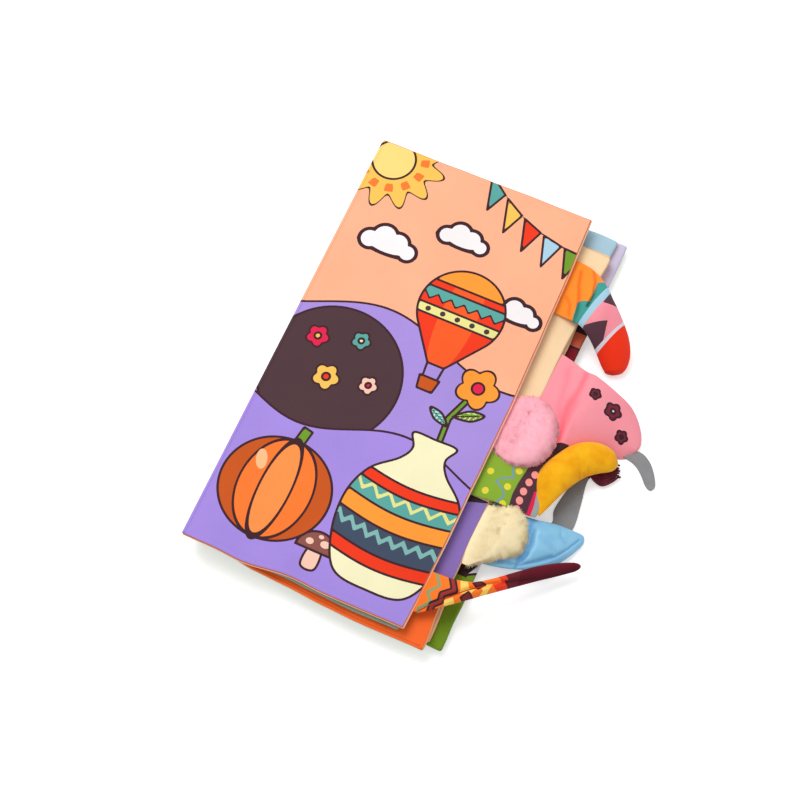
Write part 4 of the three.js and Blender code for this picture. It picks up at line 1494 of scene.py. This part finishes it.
def bundle(name, paths, radius, material, body):
    """Closed tubes along many paths at once. Paths are an array of strand, step, and x, y, z."""
    ahead = np.gradient(paths, axis=1)
    ahead /= length_of(ahead)
    side = np.cross(ahead, [0.02, 0.03, 1.0])
    side /= length_of(side)
    over = np.cross(side, ahead)
    turn = np.linspace(0, 2 * math.pi, YARN_SIDES, endpoint=False)
    ring = side[:, :, None] * np.cos(turn)[:, None] + over[:, :, None] * np.sin(turn)[:, None]
    walls = paths[:, :, None] + ring * radius
    strands, steps = walls.shape[:2]
    ends = [paths[:, k : k + 1, None].repeat(YARN_SIDES, 2) for k in (0, steps - 1)]
    walls = np.concatenate([ends[0], walls, ends[1]], axis=1)
    points = np.concatenate([tube_points(strand) for strand in walls])
    one = tube_faces(steps + 2, YARN_SIDES)
    jump = len(points) // strands
    faces = [[corner + k * jump for corner in face] for k in range(strands) for face in one]
    return piece(name, points, faces, material, body)


# %% [markdown]
# Finishes of the tails. Plush lets light through its fibres and has a pale sheen. Satin is a weave
# with long floats, so it shines along one direction. Felt is matted wool with no weave, only fine
# blotches. The golden and maroon cloths are a short velour, which is dull and deep in colour.

# %% Fabrics of the tails
LIGHT_PASSED = 0.3


def plush(name, colour, tip_colour):
    """Cut-pile knit: matt, with a pale sheen. A fibre lets light through, so the side of it that is
    turned away from a lamp is lit too: that is the second shader, which has the normal reversed."""
    material, tree = new_material(name)
    tuft = noise(tree, 2.2, 2)
    share = add(tree, "MapRange", {0: tuft, 1: 0.25, 2: 0.75}).outputs[0]
    shade = mottled(tree, mix(tree, share, linear(colour), linear(tip_colour)), 9, 0.02)
    inputs = {"Base Color": shade, "Roughness": 0.95, "Sheen Weight": 0.15, "Sheen Roughness": 0.6}
    bump = relief(tree, tuft, 0.04)
    inputs |= {"Specular IOR Level": 0.1, "Normal": bump}
    near_side = add(tree, "BsdfPrincipled", inputs).outputs[0]
    behind = add(tree, "VectorMath", {0: bump, "Scale": -1.0}, operation="SCALE").outputs[0]
    passed = mix(tree, LIGHT_PASSED, linear("#000000"), shade)
    far_side = add(tree, "BsdfTranslucent", {"Color": passed, "Normal": behind}).outputs[0]
    close(tree, add(tree, "AddShader", {0: near_side, 1: far_side}).outputs[0])
    return material


def velour(name, colour, fold_colour, grain=1.2):
    """Short brushed pile: matt and deep, with soft streaks where it has been stroked."""
    material, tree = new_material(name)
    share = add(tree, "MapRange", {0: noise(tree, 7, 4, 0.6), 1: 0.35, 2: 0.7}).outputs[0]
    # Painted shade: the colour deepens where the velour is folded in.
    shade = crease_shaded(tree, mix(tree, share, linear(fold_colour), linear(colour)))
    inputs = {"Base Color": shade, "Roughness": 0.9, "Sheen Weight": 0.2, "Sheen Roughness": 0.45}
    inputs |= {"Specular IOR Level": 0.15, "Normal": relief(tree, noise(tree, grain, 3), 0.1)}
    close(tree, add(tree, "BsdfPrincipled", inputs).outputs[0])
    return material


def satin(name, colour, pale):
    """Woven satin: smooth long floats, so a bright streak that follows the wrinkles."""
    material, tree = new_material(name)
    # Painted highlight: paler blotches mixed into the blue. The folds get painted shade.
    shade = crease_shaded(tree, mix(tree, noise(tree, 6, 3), linear(colour), linear(pale)), 0.85)
    wrinkles = relief(tree, noise(tree, 12, 2, 0.4), 1.0)
    bump = relief(tree, threads(tree, THREAD, "X"), 0.015, wrinkles)
    inputs = {"Base Color": shade, "Roughness": 0.42, "Sheen Weight": 0.25, "Anisotropic": 0.5}
    inputs |= {"Specular IOR Level": 0.7, "IOR": 1.5, "Normal": bump}
    close(tree, add(tree, "BsdfPrincipled", inputs).outputs[0])
    return material


def felt(name, colour, pale):
    """Pressed wool felt: no weave, fine hairs lying every way, matt."""
    material, tree = new_material(name)
    hairs = noise(tree, 0.9, 5, 0.7)
    shade = mix(tree, hairs, linear(colour), linear(pale))
    inputs = {"Base Color": mottled(tree, shade, 6, 0.06), "Roughness": 0.96, "Sheen Weight": 0.25}
    inputs |= {"Specular IOR Level": 0.1, "Normal": relief(tree, hairs, 0.16)}
    close(tree, add(tree, "BsdfPrincipled", inputs).outputs[0])
    return material


pink_pile = plush("pink_cut_plush", "#FFADBD", "#FFC0CC")
cream_pile = plush("cream_cut_plush", "#F0DDB0", "#F8EABF")
golden_velour = velour("golden_velour", "#FDBC16", "#EFA208")
maroon_velour = velour("maroon_velour", "#680E22", "#5C0F20")
blue_satin = satin("blue_satin", "#6CB4DE", "#96CFEC")
grey_felt = felt("grey_wool_felt", "#838385", "#99999B")
yarn = velour("maroon_yarn", "#7E2A3A", "#561824", 0.6)

# %% [markdown]
# Each tail in turn. A tail that is sewn to a leaf is one unbroken piece of cloth from inside the seam
# to its tip. It gets the presses, pinches and gathers that stitching and handling leave in it.


# %% Seams, prints and the banded tail
SEAM_FROM = 0.94
SEAM_DEPTH = 0.5


def seam_shade(across):
    """How dark the sewn seam looks: a thin line along both edges of a tail."""
    return SEAM_DEPTH * smoothstep(SEAM_FROM, 1, np.abs(across))


def printed_for(pattern, name, ground):
    """The printed cloth of a pattern. The pattern is asked at one point, only to count its shapes."""
    return printed_cloth(name, ground, pattern(*np.zeros((2, 1))))


rings = tail_form(TAILS["banded_tail"])[0]
rings, fold = pressed(
    rings,
    line_press([(62.4, 88), (64.4, 80), (67, 74), (69.4, 66), (69.6, 60)], 0.8, 0.75),
    line_press([(67.6, 91.7), (71.4, 84.7), (73.6, 76.9), (73, 70)], 0.7, 0.7),
    line_press([(61, 72), (64, 69), (66, 63)], 0.7, 0.6),
    line_press([(84, 72), (88, 62), (88, 50)], 3.0, 0.1),
)
cloth = printed_for(banded_pattern, "printed_velour_banded", "#FF9026")
banded = tail_piece("banded_tail_cloth", rings, cloth, fold=fold)
print_on(banded, rings, banded_pattern)
bend_at(banded, "banded_tail")
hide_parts("banded_tail_tab", "banded_tail_shell", "banded_tail_wadding")

# %% Pink and cream plush pads
PADS = [
    ("pink_plush", pink_pile, 0.03, 2.2, 11, 0.7),
    ("cream_plush", cream_pile, -0.0012, 2.6, 12, 0.6),
]
for name, cloth, fur_from, length, seed, fill in PADS:
    rings, share, _ = tail_form(TAILS[f"{name}_tail"])
    pad = tail_piece(f"{name}_pad", rings, cloth)
    hairs = pile(f"{name}_hairs", rings[share > fur_from], HAIRS, length, cloth, seed)
    for made in (pad, hairs):
        bend_at(made, f"{name}_tail")
    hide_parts(f"{name}_tail_tab", f"{name}_tail_shell", f"{name}_tail_wadding")
    print(name, "pad with", HAIRS, "hairs")

# %% Green sleeve with its golden tip
rings = tail_form(TAILS["green_sleeve"])[0]
cloth = printed_for(green_pattern, "printed_polyester_green", "#86AD2E")
sleeve = tail_piece("green_sleeve_cloth", rings, cloth)
print_on(sleeve, rings, green_pattern)
bend_at(sleeve, "golden_tail")
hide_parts("green_sleeve_tab", "green_sleeve")

GATHERS = [
    (0.36, 0.35, 0.4, 0.012),
    (0.44, 0.25, 0.45, 0.01),
    (0.56, 0.5, 0.5, 0.01),
    (0.62, 0.3, 0.5, 0.008),
    (0.66, 0.45, 0.4, 0.011),
    (0.75, 0.25, 0.45, 0.009),
]
rings, share, across = tail_form(TAILS["golden_tip"])
rings, fold = gathered(rings, share, across, GATHERS, -1)
fold = np.maximum(fold, seam_shade(across))
golden = tail_piece("golden_tip_cloth", rings, golden_velour, "golden_tail", fold)
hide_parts("golden_tip_shell", "golden_tip_wadding")


# %% Pink flap with its felt hook
def flap_pattern(x, y):
    """A dark patch of painted shade at the lower corner, for the gap beside it, and three scattered
    flowers.
    """
    gap_shade_patch = polygon(x, y, [(76, 0), (83, -1.6), (88, 0.6), (92, 1.6), (96, -10), (76, -12)])
    places = [((105, 26.4), 4.2), ((94, 30), 2.8), ((113.4, 17.4), 3)]
    flowers = [shape for middle, size in places for shape in flower(x, y, middle, size, "#7A2036", WHITE)]
    return [(gap_shade_patch, "#4A2430", 0), *flowers]


rings = tail_form(TAILS["pink_flap"])[0]
rings, fold = pressed(
    rings,
    line_press([(85.6, 42), (85.6, 30), (84.2, 20.4), (84.4, 13), (85, 6), (86.4, -4)], 1.3, 0.7),
    line_press([(84.6, 22), (84.2, 14), (85, 6), (87, -4)], 3.2, 0.5),
    line_press([(76.9, 38.2), (78.8, 29.4), (79.8, 18.5), (82.8, 9.4)], 1.8, 0.3),
    line_press([(90.5, 30), (89, 20), (90.5, 8)], 2.6, 0.12),
    line_press([(112, 33), (108, 24), (110, 15)], 3.5, 0.08),
)
# Painted shadow only: the pink pad throws shade on the flap beside it, so the colour darkens there and the
# shape stays.
_, shade = pressed(rings, line_press([(84.4, 14), (85.6, 8), (86.8, 2), (88, -4)], 1.5, 0.95))
fold = np.maximum(fold, shade)
cloth = printed_for(flap_pattern, "printed_velour_pink", "#FF9BA8")
flap = tail_piece("pink_flap_cloth", rings, cloth, fold=fold)
print_on(flap, rings, flap_pattern)
bend_at(flap, "pink_flap")
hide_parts("pink_flap_tab", "pink_flap_shell", "pink_flap_wadding")

rings = tail_form(TAILS["felt_hook"])[0]
hook = tail_piece("felt_hook_piece", rings, grey_felt, "pink_flap")
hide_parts("felt_hook")

# %% Satin fin
FIN_SEAM = [(114.4, -38.6), (111.6, -44.6), (107.4, -51.6), (101, -57.8), (93, -63), (84, -65.6)]
rings, _, across = tail_form(TAILS["satin_fin"])
rings, fold = pressed(
    rings,
    # Along the cream pad's edge the satin is pressed flatter, and its fold value paints the pad's shade
    # there.
    line_press([(90.6, -37), (91.8, -44), (93.2, -52), (92.6, -60)], 2.4, 0.85),
    line_press([(92.3, -67), (92.6, -62), (94.4, -56)], 0.9, 0.65),
    line_press([(91.7, -65), (86.9, -63.6), (81.1, -64.7)], 1.1, 0.4),
    line_press([(93, -64), (99, -58.6), (106, -52)], 1.0, 0.4),
    line_press([(98, -46), (102, -48), (107, -50)], 1.6, 0.2),
    line_press([(104, -37), (106, -41), (110, -43.4)], 1.2, 0.25),
    line_press(FIN_SEAM, 0.6, 0.45),
)
# Painted shadow only: the cream pad throws shade on the fin beside it, so the colour darkens there and the
# shape stays.
_, shade = pressed(rings, line_press([(91.4, -41), (92.8, -46), (93.4, -52), (92.8, -58)], 1.5, 0.98))
fold = np.maximum(np.maximum(fold, shade), seam_shade(across))
fin = tail_piece("satin_fin_cloth", rings, blue_satin, fold=fold)
bend_at(fin, "satin_fin")
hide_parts("satin_fin_base", "satin_fin_tip_shell", "satin_fin_tip_wadding")

# %% Zigzag sleeve with its maroon tip
TIP_FROM = 0.6
fold_press = line_press(ZIGZAG_FOLD, 1.1, 0.55)
rings = tail_form(TAILS["zigzag_tail"], last=TIP_FROM)[0]
rings, fold = pressed(rings, fold_press)
cloth = printed_for(zigzag_pattern, "printed_polyester_zigzag", "#FF7A1E")
zigzag_sleeve = tail_piece("zigzag_sleeve_cloth", rings, cloth, fold=fold)
print_on(zigzag_sleeve, rings, zigzag_pattern)
bend_at(zigzag_sleeve, "zigzag_tail")
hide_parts("zigzag_tail_tab", "zigzag_tail_sleeve", "zigzag_tail_wadding")

rings = tail_form(TAILS["zigzag_tail"], first=TIP_FROM)[0]
rings, fold = pressed(rings, fold_press)
maroon_tip = tail_piece("maroon_tip_cloth", rings, maroon_velour, "zigzag_tail", fold)
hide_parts("zigzag_tail_tip")

# %% Felt strap, its binding and the tassel
STRAP_INSIDE = 2.6
rings = tail_form(TAILS["felt_strap"], inside=STRAP_INSIDE)[0]
strap = tail_piece("felt_strap_piece", rings, grey_felt)
bend_at(strap, "tassel_strap")
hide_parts("felt_strap_tab", "felt_strap")

WINDINGS = 4
WOUND_TURNS = 60
THREAD_RADIUS = 0.32
WOUND_RADIUS = 1.05
WOUND_LEVEL = 1.4
shape = TAILS["tassel_binding"]
share = np.linspace(0, 1, WINDINGS * WOUND_TURNS)
upper, lower = smooth_line(shape["upper"], share), smooth_line(shape["lower"], share)
turn = 2 * math.pi * WINDINGS * share
half = (upper - lower) / 2 * WOUND_RADIUS
flat = (upper + lower) / 2 + half * np.cos(turn)[:, None]
level = WOUND_LEVEL + WOUND_RADIUS * np.sin(turn)
wound = np.concatenate([flat, level[:, None]], axis=-1)[None]
binding = bundle("tassel_binding_thread", wound, THREAD_RADIUS, yarn, "tassel_strap")
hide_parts("tassel_binding")

STRANDS = 90
STRAND_STEPS = 22
STRAND_RADIUS = 0.5
STRAND_LENGTHS = (0.82, 1.04)
STRAND_SWAY = 0.7
STRAIGHT_FROM = 0.93
TASSEL_FLAT = 1.1
TASSEL_FULL = 0.7
TASSEL_LOW = 0.15
TASSEL_HALF = 3.2
TASSEL_WIDER = 1.6


def tassel_paths(shape, seed):
    """Strands that start inside the binding, follow the tassel's curve and splay towards its end."""
    drawn = np.random.default_rng(seed)
    angle = drawn.uniform(0, 2 * math.pi, STRANDS)
    radius = np.sqrt(drawn.uniform(0, 1, STRANDS))
    across, lift = radius * np.cos(angle), radius * np.sin(angle)
    last = drawn.uniform(*STRAND_LENGTHS, STRANDS)
    share = np.linspace(0, 1, STRAND_STEPS)[None] * last[:, None]
    upper = smooth_line(shape["upper"], share.ravel()).reshape(STRANDS, STRAND_STEPS, 2)
    lower = smooth_line(shape["lower"], share.ravel()).reshape(STRANDS, STRAND_STEPS, 2)
    over_end = np.maximum(share - STRAIGHT_FROM, 0)[..., None]
    onwards = (upper + lower)[:, -1:] / 2 - (upper + lower)[:, -4:-3] / 2
    middle = (upper + lower) / 2 + over_end * onwards * 3
    half = (upper - lower) / 2
    half = half * np.clip(TASSEL_HALF / length_of(half), 1, TASSEL_WIDER)
    free = smoothstep(0.2, 1, share)[..., None] ** 2
    sway = drawn.normal(0, STRAND_SWAY, (STRANDS, 1, 3)) * free
    thick = TASSEL_FLAT + TASSEL_FULL * smoothstep(0, 0.4, share)
    flat = middle + half * across[:, None, None] + sway[..., :2]
    level = TASSEL_LOW + STRAND_RADIUS + thick * (1 + lift[:, None] * 0.9) + sway[..., 2] * 0.6
    return np.concatenate([flat, np.maximum(level, STRAND_RADIUS)[..., None]], axis=-1)


tassel = bundle("tassel_yarn", tassel_paths(TAILS["tassel"], 5), STRAND_RADIUS, yarn, "tassel_strap")
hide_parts("tassel")
print("tails made, tassel of", STRANDS, "strands")
